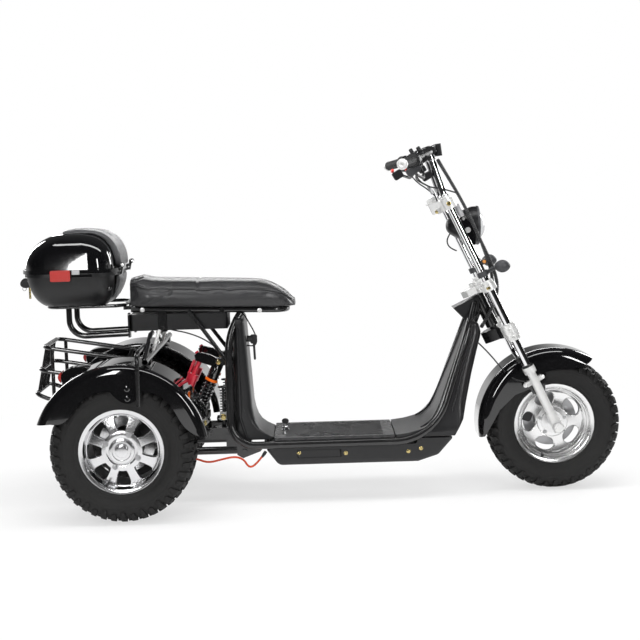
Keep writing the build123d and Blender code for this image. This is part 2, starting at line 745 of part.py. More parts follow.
# ---------------------------------------------------------------- handlebar
bar_d = 22.2
bar_top = at_steer(22, 0, top_yoke_z + top_yoke_t + 164)
riser_foot = [at_steer(3, side * 60, top_yoke_z + top_yoke_t + gap) for side in (RIGHT, LEFT)]
riser_head = [Vector(bar_top.X, side * 60, bar_top.Z) for side in (RIGHT, LEFT)]
grip_inner = (328, 235, 1160)
grip_outer = (284, 366, 1147)
bar_route = [
    (grip_outer[0], -grip_outer[1] + 3, grip_outer[2]),
    (grip_inner[0], -grip_inner[1], grip_inner[2]),
    (bar_top.X, -110, bar_top.Z),
    (bar_top.X, 110, bar_top.Z),
    (grip_inner[0], grip_inner[1], grip_inner[2]),
    (grip_outer[0], grip_outer[1] - 3, grip_outer[2]),
]
bar = tube(bar_route, [70, 60, 60, 70], bar_d)
with BuildPart() as handlebar:
    add(bar)
    for foot, crown in zip(riser_foot, riser_head):
        with BuildSketch(Plane(origin=foot, z_dir=crown - foot)):
            Circle(14)
        extrude(amount=(crown - foot).length)
        with BuildSketch(Plane(origin=crown - Vector(0, 16, 0), z_dir=(0, 1, 0))):
            Circle(21)
        extrude(amount=32)
    # keep the feet above the top yoke
    with BuildSketch(steer.offset(top_yoke_z + top_yoke_t + gap)):
        Rectangle(200, 300)
    extrude(amount=-60, mode=Mode.SUBTRACT)
handlebar.part.label = "handlebar"
export_step(handlebar.part, "parts/handlebar.step")

grip_d = 33.0
bar_room = tube(bar_route, [70, 60, 60, 70], bar_d + 2 * gap)
with BuildPart() as grips:
    for side in (RIGHT, LEFT):
        start = Vector(grip_inner[0], side * grip_inner[1], grip_inner[2])
        end = Vector(grip_outer[0], side * grip_outer[1], grip_outer[2])
        with BuildSketch(Plane(origin=start + (end - start) * 0.06, z_dir=end - start)):
            Circle(grip_d / 2)
        extrude(amount=(end - start).length)
    add(bar_room, mode=Mode.SUBTRACT)
grips.part.label = "grips"
export_step(grips.part, "parts/grips.step")

display_lean = Plane(origin=(bar_top.X + 37, 0, bar_top.Z + 8), z_dir=(-0.12, 0, 1))
with BuildPart() as display:
    with BuildSketch(display_lean.offset(-21)):
        RectangleRounded(20, 74, 5)
    extrude(amount=42)
    with BuildSketch(Plane.XZ.offset(-15)):
        with Locations((bar_top.X + 16, bar_top.Z + 2)):
            Rectangle(40, 30)
    extrude(amount=30)
    add(bar_room, mode=Mode.SUBTRACT)
display.part.label = "display"
export_step(display.part, "parts/display.step")

# throttle on the right, switches on the left, and the two brake levers
grip_way = [
    Plane(
        origin=(grip_inner[0], side * grip_inner[1], grip_inner[2]),
        x_dir=(0, 0, 1),
        z_dir=(
            grip_outer[0] - grip_inner[0], side * (grip_outer[1] - grip_inner[1]),
            grip_outer[2] - grip_inner[2],
        ),
    )
    for side in (RIGHT, LEFT)
]
lever_route = [
    [
        (344, side * 190, 1146), (362, side * 206, 1116), (354, side * 300, 1100), (326, side * 370, 1112),
    ]
    for side in (RIGHT, LEFT)
]
lever_bars = [tube(route, [16, 50], 10) for route in lever_route]
with BuildPart() as switches:
    for way, start, length, d in ((grip_way[0], -16, 24, 47), (grip_way[1], -22, 28, 40)):
        with BuildSketch(way.offset(start)):
            Circle(d / 2)
        extrude(amount=length)
    with BuildSketch(grip_way[1].offset(-22)):
        with Locations((-20, 0)):
            RectangleRounded(34, 30, 8)
    extrude(amount=28)
    add(bar_room, mode=Mode.SUBTRACT)
switches.part.label = "switches"
export_step(switches.part, "parts/switches.step")

with BuildPart() as levers:
    for way, bar_piece in zip(grip_way, lever_bars):
        with BuildSketch(way.offset(-56)):
            Circle(17)
        extrude(amount=18)
        add(bar_piece)
    for side in (RIGHT, LEFT):
        with BuildSketch(Plane(origin=(344, side * 190, 1156), x_dir=(0, 1, 0), z_dir=(0.3, 0, -1))):
            RectangleRounded(36, 28, 6)
        extrude(amount=18)
    add(bar_room, mode=Mode.SUBTRACT)
levers.part.label = "levers"
export_step(levers.part, "parts/levers.step")

# ---------------------------------------------------------------- headlight
lamp_centre = (535, 0, 931)
lamp_r = 66.0
bracket_in = fork_half_spread - 32
with BuildPart() as headlight:
    with BuildSketch(Plane.XZ):
        with BuildLine():
            Spline(
                (-82 + lamp_centre[0], lamp_centre[2]), (-60 + lamp_centre[0], lamp_centre[2] + 34),
                (-8 + lamp_centre[0], lamp_centre[2] + 60),
                (18 + lamp_centre[0], lamp_centre[2] + lamp_r), tangents=[(0, 1), (1, 0)],
            )
            Polyline(
                (18 + lamp_centre[0], lamp_centre[2] + lamp_r),
                (28 + lamp_centre[0], lamp_centre[2] + lamp_r),
                (28 + lamp_centre[0], lamp_centre[2]), (-82 + lamp_centre[0], lamp_centre[2]),
            )
        make_face()
    revolve(axis=Axis(lamp_centre, (1, 0, 0)))
    with BuildSketch(Plane(origin=(520, bracket_in - gap, 931), z_dir=(0, -1, 0))):
        Circle(10)
    extrude(amount=2 * (bracket_in - gap))
headlight.part.label = "headlight"
export_step(headlight.part, "parts/headlight.step")
with BuildPart() as headlight_lens:
    with BuildSketch(Plane.XZ):
        with BuildLine():
            Spline(
                (28 + gap + lamp_centre[0], lamp_centre[2] + lamp_r - 6),
                (46 + lamp_centre[0], lamp_centre[2] + 32),
                (54 + lamp_centre[0], lamp_centre[2]), tangents=[(0.5, -1), (0, -1)],
            )
            Polyline(
                (54 + lamp_centre[0], lamp_centre[2]), (28 + gap + lamp_centre[0], lamp_centre[2]),
                (28 + gap + lamp_centre[0], lamp_centre[2] + lamp_r - 6),
            )
        make_face()
    revolve(axis=Axis(lamp_centre, (1, 0, 0)))
headlight_lens.part.label = "headlight_lens"
export_step(headlight_lens.part, "parts/headlight_lens.step")

with BuildPart() as headlight_bracket:
    for side in (RIGHT, LEFT):
        with BuildSketch(Plane.XZ.offset(-side * (bracket_in + 2) - 2)):
            Polygon((484, 968), (504, 978), (548, 910), (552, 872), (536, 866), (484, 950), align=None)
        extrude(amount=4)
        with BuildSketch(Plane(origin=(520, side * (bracket_in + 3), 931), z_dir=(0, side, 0))):
            Circle(8)
        extrude(amount=5)
        with BuildSketch(steer.offset(top_yoke_z - 50)):
            with Locations((0, side * fork_half_spread)):
                Circle(fork_tube_d / 2 + 6)
                Circle(fork_tube_d / 2 + gap, mode=Mode.SUBTRACT)
            with Locations((18, side * (fork_half_spread - 21))):
                Rectangle(14, 22)
        extrude(amount=36)
headlight_bracket.part.label = "headlight_bracket"
export_step(headlight_bracket.part, "parts/headlight_bracket.step")

indicator_z = middle_yoke_z + 52
lamp_x, lamp_y, lamp_z = 598.0, 166.0, 797.0
with BuildPart() as indicators:
    for side in (RIGHT, LEFT):
        base = at_steer(0, side * fork_half_spread, indicator_z)
        with BuildSketch(steer.offset(indicator_z)):
            with Locations((0, side * fork_half_spread)):
                Circle(fork_tube_d / 2 + 6)
                Circle(fork_tube_d / 2 + gap, mode=Mode.SUBTRACT)
        extrude(amount=18)
        tip = Vector(lamp_x + 12, side * lamp_y, lamp_z)
        root = at_steer(18, side * (fork_half_spread + 4), indicator_z + 9)
        with BuildSketch(Plane(origin=root, z_dir=tip - root)):
            Circle(7)
        extrude(amount=(tip - root).length)
        with BuildSketch(Plane(origin=(lamp_x, side * lamp_y, lamp_z), x_dir=(1, 0, 0), z_dir=(0, -1, 0))):
            with BuildLine():
                Spline((0, 5), (9, 15), (22, 21), (36, 20), (48, 12), (54, 2))
                Polyline((54, 2), (54, 0), (0, 0), (0, 5))
            make_face()
        revolve(axis=Axis((lamp_x, side * lamp_y, lamp_z), (1, 0, 0)))
indicators.part.label = "indicators"
export_step(indicators.part, "parts/indicators.step")

# ---------------------------------------------------------------- top box carrier
carrier_half = 78.0
carrier_d = 20.0
tray_d = 12.0
box_floor_z = 702.0
tray_z = box_floor_z - gap - tray_d / 2
box_back_x = -648.0
tray = tube(
    [(-925, 0, tray_z), (-925, -110, tray_z), (-690, -110, tray_z), (-664, -84, tray_z), (-664, 0, tray_z)],
    [40, 14, 14],
    tray_d,
)
carrier_post = tube(
    [(-857, -carrier_half, tray_z), (-857, -carrier_half, 590), (box_back_x - 4, -carrier_half, 596)],
    [55],
    carrier_d,
)
with BuildPart() as carrier:
    for piece in (tray, carrier_post):
        add(piece)
        add(piece.mirror(Plane.XZ))
    for side in (RIGHT, LEFT):
        with BuildSketch(Plane.YZ.offset(box_back_x - gap - 6)):
            with Locations((side * carrier_half, 625)):
                RectangleRounded(34, 84, 6)
        extrude(amount=6)
        with BuildSketch(Plane.XY.offset(tray_z - 17)):
            with Locations((-652, side * 70)):
                Rectangle(34, 24)
        extrude(amount=11.5)
    for x in (-857, -760):
        with BuildSketch(Plane(origin=(x, 110, tray_z), z_dir=(0, -1, 0))):
            Circle(5)
        extrude(amount=220)
    with BuildSketch(Plane(origin=(rail_rear_x + 12, 200, rail_rear_z), z_dir=(0, -1, 0))):
        Circle(seat_rail_d / 2 + gap)
    extrude(amount=400, mode=Mode.SUBTRACT)
carrier.part.label = "box_carrier"
export_step(carrier.part, "parts/box_carrier.step")


# ---------------------------------------------------------------- top box
def box_shape(levels, inset):
    """Rounded body lofted through plan outlines: height, rear, front, half width, corner."""
    with BuildPart() as body:
        for z, rear, front, half, corner in levels:
            with BuildSketch(Plane.XY.offset(z)):
                with Locations(((rear + front) / 2, 0)):
                    RectangleRounded(front - rear - 2 * inset, 2 * (half - inset), corner - inset)
        loft()
    return body.part


base_levels = [
    (box_floor_z, -930, -722, 140, 45), (726, -958, -704, 168, 60), (765, -977, -693, 184, 70),
    (806, -986, -690, 192, 76),
]
lid_levels = [
    (822, -992, -689, 196, 78), (862, -984, -694, 192, 76), (900, -962, -708, 178, 72),
    (930, -924, -737, 150, 64), (944, -880, -776, 96, 40),
]
pad_levels = [
    (829, -992, -668, 196, 78), (866, -984, -671, 192, 76), (908, -962, -687, 178, 72),
    (940, -924, -718, 150, 64), (954, -880, -766, 96, 40),
]
low_pad_levels = [
    (720, -958, -703, 168, 60), (742, -970, -690, 176, 66), (775, -977, -678, 184, 70),
    (802, -986, -674, 192, 76),
]
base_room = [(z + box_wall * (i == 0), *rest) for i, (z, *rest) in enumerate(base_levels)]
base_room.append((830, -987, -689, 192, 76))
lid_room = [(z - box_wall * (i == 4), *rest) for i, (z, *rest) in enumerate(lid_levels)]
lid_room.insert(0, (800, -992, -689, 196, 78))
pad_half = 96.0
base_shape = box_shape(base_levels, 0)
base_hollow = box_shape(base_room, box_wall)
base_full = box_shape(base_levels, -gap)
lid_shape = box_shape(lid_levels, 0)
lid_hollow = box_shape(lid_room, box_wall)
lid_full = box_shape(lid_levels, -gap)

with BuildPart() as box_base:
    add(base_shape)
    with BuildSketch(Plane.XY.offset(box_seam_z - 11)):
        with Locations((-833, 0)):
            RectangleRounded(318, 2 * 197, 80)
    extrude(amount=11)
    add(base_hollow, mode=Mode.SUBTRACT)
box_base.part.label = "box_base"
export_step(box_base.part, "parts/box_base.step")

with BuildPart() as box_lid:
    add(lid_shape)
    with BuildSketch(Plane.XY.offset(box_seam_z + gap)):
        with Locations((-834, 0)):
            RectangleRounded(328, 2 * 201, 84)
    extrude(amount=12)
    add(lid_hollow, mode=Mode.SUBTRACT)
box_lid.part.label = "box_lid"
export_step(box_lid.part, "parts/box_lid.step")

pad_shape = box_shape(pad_levels, 0)
low_pad_shape = box_shape(low_pad_levels, 0)
with BuildPart() as box_pad:
    add(pad_shape)
    add(lid_full, mode=Mode.SUBTRACT)
    with BuildSketch(Plane.YZ.offset(-866)):
        with Locations((0, 900)):
            RectangleRounded(2 * pad_half, 142, 20)
    extrude(amount=240, mode=Mode.INTERSECT)
box_pad.part.label = "box_pad"
export_step(box_pad.part, "parts/box_pad.step")

with BuildPart() as box_pad_low:
    add(low_pad_shape)
    add(base_full, mode=Mode.SUBTRACT)
    with BuildSketch(Plane.YZ.offset(-720)):
        with Locations((0, 761)):
            Rectangle(2 * pad_half, 82)
    extrude(amount=90, mode=Mode.INTERSECT)
box_pad_low.part.label = "box_pad_low"
export_step(box_pad_low.part, "parts/box_pad_low.step")

# hinge at the front of the box: two knuckles and a leaf on each half, each side
hinge_x = -660.0
hinge_z = 836.0
knuckle_r = 8.0
for name, inner, leaf_low, leaf_high, tab_x in (
    ("hinge_fixed", 100, 805, 834, -674 + gap), ("hinge_moving", 112.5, 817, 834, -670 + gap),
):
    with BuildPart() as hinge:
        for side in (RIGHT, LEFT):
            with BuildSketch(Plane.XZ.offset(-side * inner)):
                with Locations((hinge_x, hinge_z)):
                    Circle(knuckle_r)
                with BuildLine():
                    Polyline(
                        (hinge_x - knuckle_r, hinge_z), (hinge_x - knuckle_r, leaf_high),
                        (hinge_x - knuckle_r, leaf_low), (hinge_x - 4, leaf_low), (hinge_x + 2, leaf_high),
                        (hinge_x - knuckle_r, hinge_z),
                    )
                make_face()
                with Locations(((tab_x + hinge_x - 6) / 2, leaf_low + 4)):
                    Rectangle(hinge_x - 6 - tab_x, 8)
            extrude(amount=-side * 12)
    hinge.part.label = name
    export_step(hinge.part, f"parts/{name}.step")

# reflector clipped over the seam on each side
with BuildPart() as side_reflectors:
    for side in (RIGHT, LEFT):
        with BuildSketch(Plane.XZ.offset(-side * 202)):
            with Locations((-858, 809)):
                RectangleRounded(67, 37, 5)
        extrude(amount=-side * 7)
        with BuildSketch(Plane.XZ.offset(-side * (197 + gap))):
            with Locations((-858, 803)):
                Rectangle(40, 16)
        extrude(amount=-side * 5)

# ---------------------------------------------------------------- basket
basket_d = 14.5
basket_half = 130.0
upright_d = basket_d - 2
top_rail = [
    (-571, -basket_half, 522), (-640, -basket_half, 512), (-940, -basket_half, 562),
    (-940, basket_half, 562), (-640, basket_half, 512), (-571, basket_half, 522),
]
mid_rail = [
    (-700, -basket_half, 440), (-957, -basket_half, 484), (-957, basket_half, 484),
    (-700, basket_half, 440),
]
low_rail = [
    (-740, -basket_half, 372), (-900, -basket_half, 372), (-974, -basket_half, 402),
    (-974, basket_half, 402), (-900, basket_half, 372), (-740, basket_half, 372),
]
# ---------------------------------------------------------------- rear carrier tubes
carrier_x = -565.0
carrier_z = 534.0
carrier_reach = 388.0
carrier_bore = 15.0
hoop_x = -587.0
fender_crown_z = rear_tyre_radius + (fender_r**2 - (carrier_x - 12 - rear_axle_x) ** 2) ** 0.5
rack_tubes = [
    tube(top_rail, [120, 30, 30, 120], basket_d),
    tube(mid_rail, [30, 30], basket_d),
    tube(low_rail, [60, 30, 30, 60], basket_d),
    tube(
        [(carrier_x, -carrier_reach, carrier_z), (carrier_x, carrier_reach, carrier_z)], [], 20,
        carrier_bore,
    ),
]
for y in (-65, 0, 65):
    rack_tubes.append(tube([(-940, y, 562), (-974, y, 402)], [], upright_d))
for side in (RIGHT, LEFT):
    edge = side * basket_half
    rack_tubes.append(tube([(-912, edge, 558), (-912, edge, 379)], [], upright_d))
    rack_tubes.append(tube([(-740, edge, 372), (-700, edge, 440), (-672, edge, 517)], [60], basket_d + 1.5))
    # stay up to the seat box
    stay = [(-575, side * 320, carrier_z), (-574, side * 130, 595.7), (-574, side * 76, 595.7)]
    rack_tubes.append(tube(stay, [20], 16))
    # hoop beside the fender
    hoop = [
        (carrier_x, side * 110, carrier_z), (hoop_x, side * 185, 566),
        (hoop_x, side * 418, 566), (hoop_x, side * 418, 396),
    ]
    rack_tubes.append(tube(hoop, [90, 34], 15))
with BuildPart() as rear_rack:
    for piece in rack_tubes:
        add(piece)
    # blocks down to the fenders
    with BuildSketch(Plane.XY.offset(fender_crown_z + gap)):
        with Locations((carrier_x, -300), (carrier_x, 300)):
            Rectangle(24, 36)
    extrude(amount=carrier_z - fender_crown_z)
    with BuildSketch(Plane(origin=(carrier_x, 400, carrier_z), z_dir=(0, -1, 0))):
        Circle(carrier_bore / 2)
    extrude(amount=800, mode=Mode.SUBTRACT)
rear_rack.part.label = "rear_rack"
export_step(rear_rack.part, "parts/rear_rack.step")

# ---------------------------------------------------------------- shocks
shock_fall = shock_low - shock_top
shock_length = shock_fall.length
spring_d = 44.0
spring_wire = 6.0
spring_start = 0.30 * shock_length
spring_end = 0.80 * shock_length
with BuildPart() as shocks:
    for side in (RIGHT, LEFT):
        top = shock_top + Vector(0, side * shock_y, 0)
        low = shock_low + Vector(0, side * shock_y, 0)
        along = Plane(origin=top, z_dir=shock_fall)
        for start, length, d in (
            (0, shock_length, 14), (0.09 * shock_length, 0.18 * shock_length, 38),
            (0.27 * shock_length, 0.03 * shock_length, 45), (spring_end, 0.05 * shock_length, 42),
            (0.2 * shock_length, 0.45 * shock_length, 28),
        ):
            with BuildSketch(along.offset(start)):
                Circle(d / 2)
            extrude(amount=length)
        for end in (top, low):
            with BuildSketch(Plane(origin=end - Vector(0, 14, 0), z_dir=(0, 1, 0))):
                Circle(13)
            extrude(amount=28)
            for out in (RIGHT, LEFT):
                with BuildSketch(Plane(origin=end + Vector(0, out * (19 + gap), 0), z_dir=(0, out, 0))):
                    RegularPolygon(9, 6)
                extrude(amount=5)
        # block that links the shock with its reservoir
        with BuildSketch(Plane.XZ.offset(-side * shock_y - 12)):
            Polygon(
                (-362, 474), (-352, 503), (-418, 527), (-432, 517), (-428, 498), (-398, 486),
                align=None,
            )
        extrude(amount=24)
shocks.part.label = "shocks"
export_step(shocks.part, "parts/shocks.step")

coil_height = spring_end - spring_start - spring_wire - 2 * gap
with BuildPart() as coil:
    with BuildLine() as coil_line:
        Helix(13.2, coil_height, (spring_d - spring_wire) / 2)
    with BuildSketch(Plane(origin=coil_line.line @ 0, z_dir=coil_line.line % 0)):
        RegularPolygon(spring_wire / 2, 8)
    sweep(path=coil_line.line, is_frenet=True)
coils = []
for side in (RIGHT, LEFT):
    seat_plane = Plane(origin=shock_top + Vector(0, side * shock_y, 0), z_dir=shock_fall)
    coils.append(seat_plane.offset(spring_start + spring_wire / 2 + gap).location * coil.part)
with BuildPart() as shock_springs:
    for piece in coils:
        add(piece)

reservoir_d = 38.0
reservoir_top = Vector(-435.5, 0, 450.5)
reservoir_length = 50.0
with BuildPart() as shock_reservoirs:
    for side in (RIGHT, LEFT):
        head = Plane(origin=reservoir_top + Vector(0, side * shock_y, 0), z_dir=shock_fall)
        with BuildSketch(head):
            Circle(reservoir_d / 2)
        extrude(amount=reservoir_length)
        with BuildSketch(head.offset(-46)):
            with Locations(head.to_local_coords(Vector(-450, side * shock_y, 459)).X * Vector(1, 0, 0)):
                Circle(4)
        extrude(amount=56)
        with BuildSketch(head.offset(-46)):
            Circle(7)
        extrude(amount=46)
shock_reservoirs.part.label = "shock_reservoirs"
export_step(shock_reservoirs.part, "parts/shock_reservoirs.step")

# short bump springs standing on the swing arm's front blocks
bump_x = -337.0
bump_low = beam_z + 30 + gap
bump_high = 400.0
with BuildPart() as bump_coil:
    with BuildLine() as bump_line:
        Helix(9.6, bump_high - 322, 9.8)
    with BuildSketch(Plane(origin=bump_line.line @ 0, z_dir=bump_line.line % 0)):
        RegularPolygon(2.3, 8)
    sweep(path=bump_line.line, is_frenet=True)
with BuildPart() as rear_springs:
    for side in (RIGHT, LEFT):
        for z, height, d in (
            (bump_low, 50, 15), (bump_low + 22, 28, 20), (bump_low, bump_high - bump_low + 2, 9),
        ):
            with BuildSketch(Plane.XY.offset(z)):
                with Locations((bump_x, side * shock_y)):
                    Circle(d / 2)
            extrude(amount=height)
        with BuildSketch(Plane.XY.offset(bump_high)):
            with Locations((bump_x, side * shock_y)):
                Circle(12)
            with Locations((bump_x + 12, side * (shock_y + 9))):
                Rectangle(22, 14)
        extrude(amount=5)
    for piece in (Pos(bump_x, -shock_y, 318) * bump_coil.part, Pos(bump_x, shock_y, 318) * bump_coil.part):
        add(piece)
    add(shock_springs.part)
    for piece in (side_room, side_room.mirror(Plane.XZ)):
        add(piece, mode=Mode.SUBTRACT)
rear_springs.part.label = "rear_springs"
export_step(rear_springs.part, "parts/rear_springs.step")

# ---------------------------------------------------------------- brakes
disc_r = 95.0
disc_t = 4.0
for name, centre, y in (
    ("disc_rear_right", rear_centre["right"], -rear_track_half + 60),
    ("disc_rear_left", rear_centre["left"], rear_track_half - 60),
    ("disc_front", front_centre, 40),
):
    with BuildPart() as disc:
        with BuildSketch(Plane(origin=(centre[0], y - disc_t / 2, centre[2]), z_dir=(0, 1, 0))):
            Circle(disc_r)
            Circle(42, mode=Mode.SUBTRACT)
        extrude(amount=disc_t)
    disc.part.label = name
    export_step(disc.part, f"parts/{name}.step")

# ---------------------------------------------------------------- lock and keys of the top box
lock_z = 783.0
key_bow = (-1027.0, 771.0)
key_bow_w = 42.0
with BuildPart() as box_lock:
    with BuildSketch(Plane.YZ.offset(-985)):
        with Locations((0, lock_z)):
            Circle(10)
    extrude(amount=-24)
    with BuildSketch(Plane.XZ.offset(-4)):
        with Locations(key_bow):
            RectangleRounded(key_bow_w, 38, 12)
    extrude(amount=8)
    with BuildSketch(Plane.XZ.offset(-1)):
        Polygon((-1020, 756), (-1010, 754), (-998, 726), (-1001, 722), (-1006, 724), align=None)
    extrude(amount=2)
box_lock.part.label = "box_lock"
export_step(box_lock.part, "parts/box_lock.step")


# ---------------------------------------------------------------- brake calipers
def caliper_shape(centre, y, angle):
    """Caliper astride a disc, at this angle round the axle, up and back being positive."""
    a = radians(angle)
    middle = Vector(centre[0] - (disc_r - 8) * cos(a), y, centre[2] + (disc_r - 8) * sin(a))
    across = Plane(origin=middle, x_dir=(-cos(a), 0, sin(a)), z_dir=(0, 1, 0))
    with BuildPart() as body:
        with BuildSketch(across.offset(-21)):
            RectangleRounded(46, 66, 10)
        extrude(amount=42)
        with BuildSketch(across.offset(-disc_t / 2 - 1)):
            with Locations((-14, 0)):
                Rectangle(60, 100)
        extrude(amount=disc_t + 2, mode=Mode.SUBTRACT)
    return body.part


rear_disc_y = rear_track_half - 60
rear_calipers = [
    caliper_shape(rear_centre[n], y, 150)
    for n, y in (("right", -rear_disc_y), ("left", rear_disc_y))
]
with BuildPart() as calipers_rear:
    for piece in rear_calipers:
        add(piece)
    for side in (RIGHT, LEFT):
        # carrier plate back to the axle tube
        with BuildSketch(Plane.XZ.offset(-side * (rear_disc_y - 18))):
            with BuildLine():
                Polyline(
                    (rear_axle_x - 34, rear_tyre_radius), (rear_axle_x + 34, rear_tyre_radius),
                    (rear_axle_x + 96, rear_tyre_radius + 30), (rear_axle_x + 52, rear_tyre_radius + 66),
                    (rear_axle_x - 34, rear_tyre_radius + 20), close=True,
                )
            make_face()
            with Locations((rear_axle_x, rear_tyre_radius)):
                Circle(34)
                Circle(axle_tube_d / 2 + gap, mode=Mode.SUBTRACT)
        extrude(amount=side * 6)
calipers_rear.part.label = "calipers_rear"
export_step(calipers_rear.part, "parts/calipers_rear.step")

front_caliper = caliper_shape(front_centre, 40, 20)
with BuildPart() as caliper_front:
    add(front_caliper)
    with BuildSketch(Plane.XZ.offset(-58)):
        Polygon((712, 250), (730, 290), (806, 258), (806, 216), (790, 216), (760, 236), align=None)
    extrude(amount=-9)
    with BuildSketch(Plane(origin=front_centre, z_dir=(0, 1, 0)).offset(61)):
        Circle(24)
    extrude(amount=8)
    with BuildSketch(Plane(origin=front_centre, z_dir=(0, 1, 0)).offset(55)):
        Circle(stub_d / 2 + gap)
    extrude(amount=40, mode=Mode.SUBTRACT)
caliper_front.part.label = "caliper_front"
export_step(caliper_front.part, "parts/caliper_front.step")

# ---------------------------------------------------------------- tail lamps on the rear fenders
with BuildPart() as tail_lamps:
    for side in (RIGHT, LEFT):
        with BuildSketch(Plane.XZ.offset(-side * 222)):
            with BuildLine():
                Spline((-854, 462), (-850, 494), (-815, 511), (-768, 508), (-740, 500))
                Polyline((-740, 500), (-740, 440), (-854, 440), (-854, 462))
            make_face()
        extrude(amount=-side * 62)
    for side in (RIGHT, LEFT):
        with BuildSketch(Plane(origin=(rear_axle_x, side * 190, rear_tyre_radius), z_dir=(0, side, 0))):
            Circle(fender_r + gap)
        extrude(amount=130, mode=Mode.SUBTRACT)
tail_lamps.part.label = "tail_lamps"
export_step(tail_lamps.part, "parts/tail_lamps.step")

with BuildPart() as red_lenses:
    add(side_reflectors.part)
    for side in (RIGHT, LEFT):
        with BuildSketch(Plane.XZ.offset(-side * 226)):
            with BuildLine():
                Spline((-859, 460), (-868, 480), (-857, 496))
                Line((-857, 496), (-859, 460))
            make_face()
        extrude(amount=-side * 54)
red_lenses.part.label = "red_lenses"
export_step(red_lenses.part, "parts/red_lenses.step")

# ---------------------------------------------------------------- controller behind the steering head
head_axis_foot = at_steer(-fork_offset, 0, head_low - 20)
head_axis_way = at_steer(-fork_offset, 0, head_high) - at_steer(-fork_offset, 0, head_low)
controller_half = 36.0
with BuildPart() as controller:
    with BuildSketch(Plane.XZ.offset(-controller_half)):
        Polygon((468, 649), (512, 603), (560, 640), (560, 716), (534, 716), align=None)
    extrude(amount=2 * controller_half)
    with BuildSketch(Plane(origin=head_axis_foot, z_dir=head_axis_way)):
        Circle(steer_tube_d / 2 + gap)
    extrude(amount=300, mode=Mode.SUBTRACT)
    with BuildSketch(Plane(origin=down_foot, z_dir=down_rise)):
        Circle(down_tube_d / 2 + gap)
    extrude(amount=420, mode=Mode.SUBTRACT)
    with BuildSketch(steer.offset(head_high - 2)):
        Rectangle(400, 200)
    extrude(amount=100, mode=Mode.SUBTRACT)
    for piece in (side_room, side_room.mirror(Plane.XZ)):
        add(piece, mode=Mode.SUBTRACT)
controller.part.label = "controller"
export_step(controller.part, "parts/controller.step")

# ---------------------------------------------------------------- ignition lock on the post cover
with BuildPart() as post_lock:
    with BuildSketch(Plane(origin=(-250, -60, 564), z_dir=(1, 0, -0.06))):
        Circle(11)
    extrude(amount=18)
    with BuildSketch(Plane.XZ.offset(56)):
        with Locations((-226, 562)):
            RectangleRounded(24, 32, 7)
    extrude(amount=8)
    with BuildSketch(Plane.XZ.offset(59)):
        Polygon((-230, 550), (-222, 550), (-220, 492), (-224, 488), (-228, 492), align=None)
    extrude(amount=2)
post_lock.part.label = "post_lock"
export_step(post_lock.part, "parts/post_lock.step")

# ---------------------------------------------------------------- cables
def cable(name, points, radii, diameter):
    """Held cable along straight runs and arcs; prints its length against its volume."""
    body = tube(points, radii, diameter)
    section = pi * diameter**2 / 4
    print(name, "radii", [round(r, 1) for r in radii], "length", round(body.volume / section))
    body.label = name
    export_step(body, f"parts/{name}.step")
    return body


def cable_radii(points, share=0.45):
    """Radius at each corner: a share of the shorter run over the tangent of half the turn."""
    radii = []
    for a, b, c in zip(points, points[1:], points[2:]):
        first = Vector(*b) - Vector(*a)
        second = Vector(*c) - Vector(*b)
        half_turn = radians(first.get_angle(second)) / 2
        radii.append(share * min(first.length, second.length) / tan(half_turn))
    return radii


harness_route = [
    (426, -40, 1160), (448, -96, 1112), (507, -121, 1003), (560, -119, 880), (601, -96, 796),
    (624, -64, 726), (614, -46, 655), (566, -38, 577),
]
cable("bar_harness", harness_route, cable_radii(harness_route), 13)
power_route = [
    (-470, -150, 172), (-434, -150, 166), (-393, -150, 149), (-345, -150, 160), (-300, -150, 169),
    (-270, -149, 158),
    (-256, -148, 132), (-240, -146, 130), (-218, -143, 150), (-197, -138, 176),
]
cable("power_cable", power_route, cable_radii(power_route), 7)
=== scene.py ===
"""Dressing of a three-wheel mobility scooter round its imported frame.

Metres. +X forward, +Y to the rider's left, +Z up, floor at Z = 0. New pieces are surfaces worked
out on grids, and every finish is built from nodes.
"""
import math

import bpy
import bmesh
import numpy as np
from mathutils import Matrix, Vector


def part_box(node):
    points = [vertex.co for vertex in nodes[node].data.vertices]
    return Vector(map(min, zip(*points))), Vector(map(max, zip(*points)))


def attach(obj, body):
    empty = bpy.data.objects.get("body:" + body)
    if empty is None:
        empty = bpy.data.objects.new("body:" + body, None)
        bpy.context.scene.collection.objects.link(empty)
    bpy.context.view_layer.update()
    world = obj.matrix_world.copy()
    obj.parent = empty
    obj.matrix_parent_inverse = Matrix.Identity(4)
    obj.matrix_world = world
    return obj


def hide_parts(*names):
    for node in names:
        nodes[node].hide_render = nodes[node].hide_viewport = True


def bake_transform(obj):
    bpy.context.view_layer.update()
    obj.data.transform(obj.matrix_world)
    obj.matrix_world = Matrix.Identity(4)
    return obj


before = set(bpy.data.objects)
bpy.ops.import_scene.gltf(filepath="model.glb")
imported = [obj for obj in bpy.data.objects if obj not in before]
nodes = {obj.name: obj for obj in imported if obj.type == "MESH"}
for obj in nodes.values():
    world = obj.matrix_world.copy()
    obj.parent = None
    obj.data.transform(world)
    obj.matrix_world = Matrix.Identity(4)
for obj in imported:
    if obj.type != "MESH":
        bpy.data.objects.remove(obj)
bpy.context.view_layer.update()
scene = bpy.context.scene
RIGHT, LEFT = -1, 1
X, Y, Z = np.eye(3)
QUARTERS = ((1, 1), (-1, 1), (-1, -1), (1, -1))


# ---------------------------------------------------------------- shapes
def unit(v):
    v = np.asarray(v, float)
    return v / np.linalg.norm(v)


def mm(*numbers, each=2):
    """Rows of metres, two or each to a row, from millimetres."""
    return np.reshape(numbers, (-1, each)) / 1000


def round_axle(turn, radius, along):
    """Points at an angle from the top, a radius from the axle and a distance along it."""
    return np.stack(np.broadcast_arrays(np.sin(turn) * radius, along, np.cos(turn) * radius), -1)


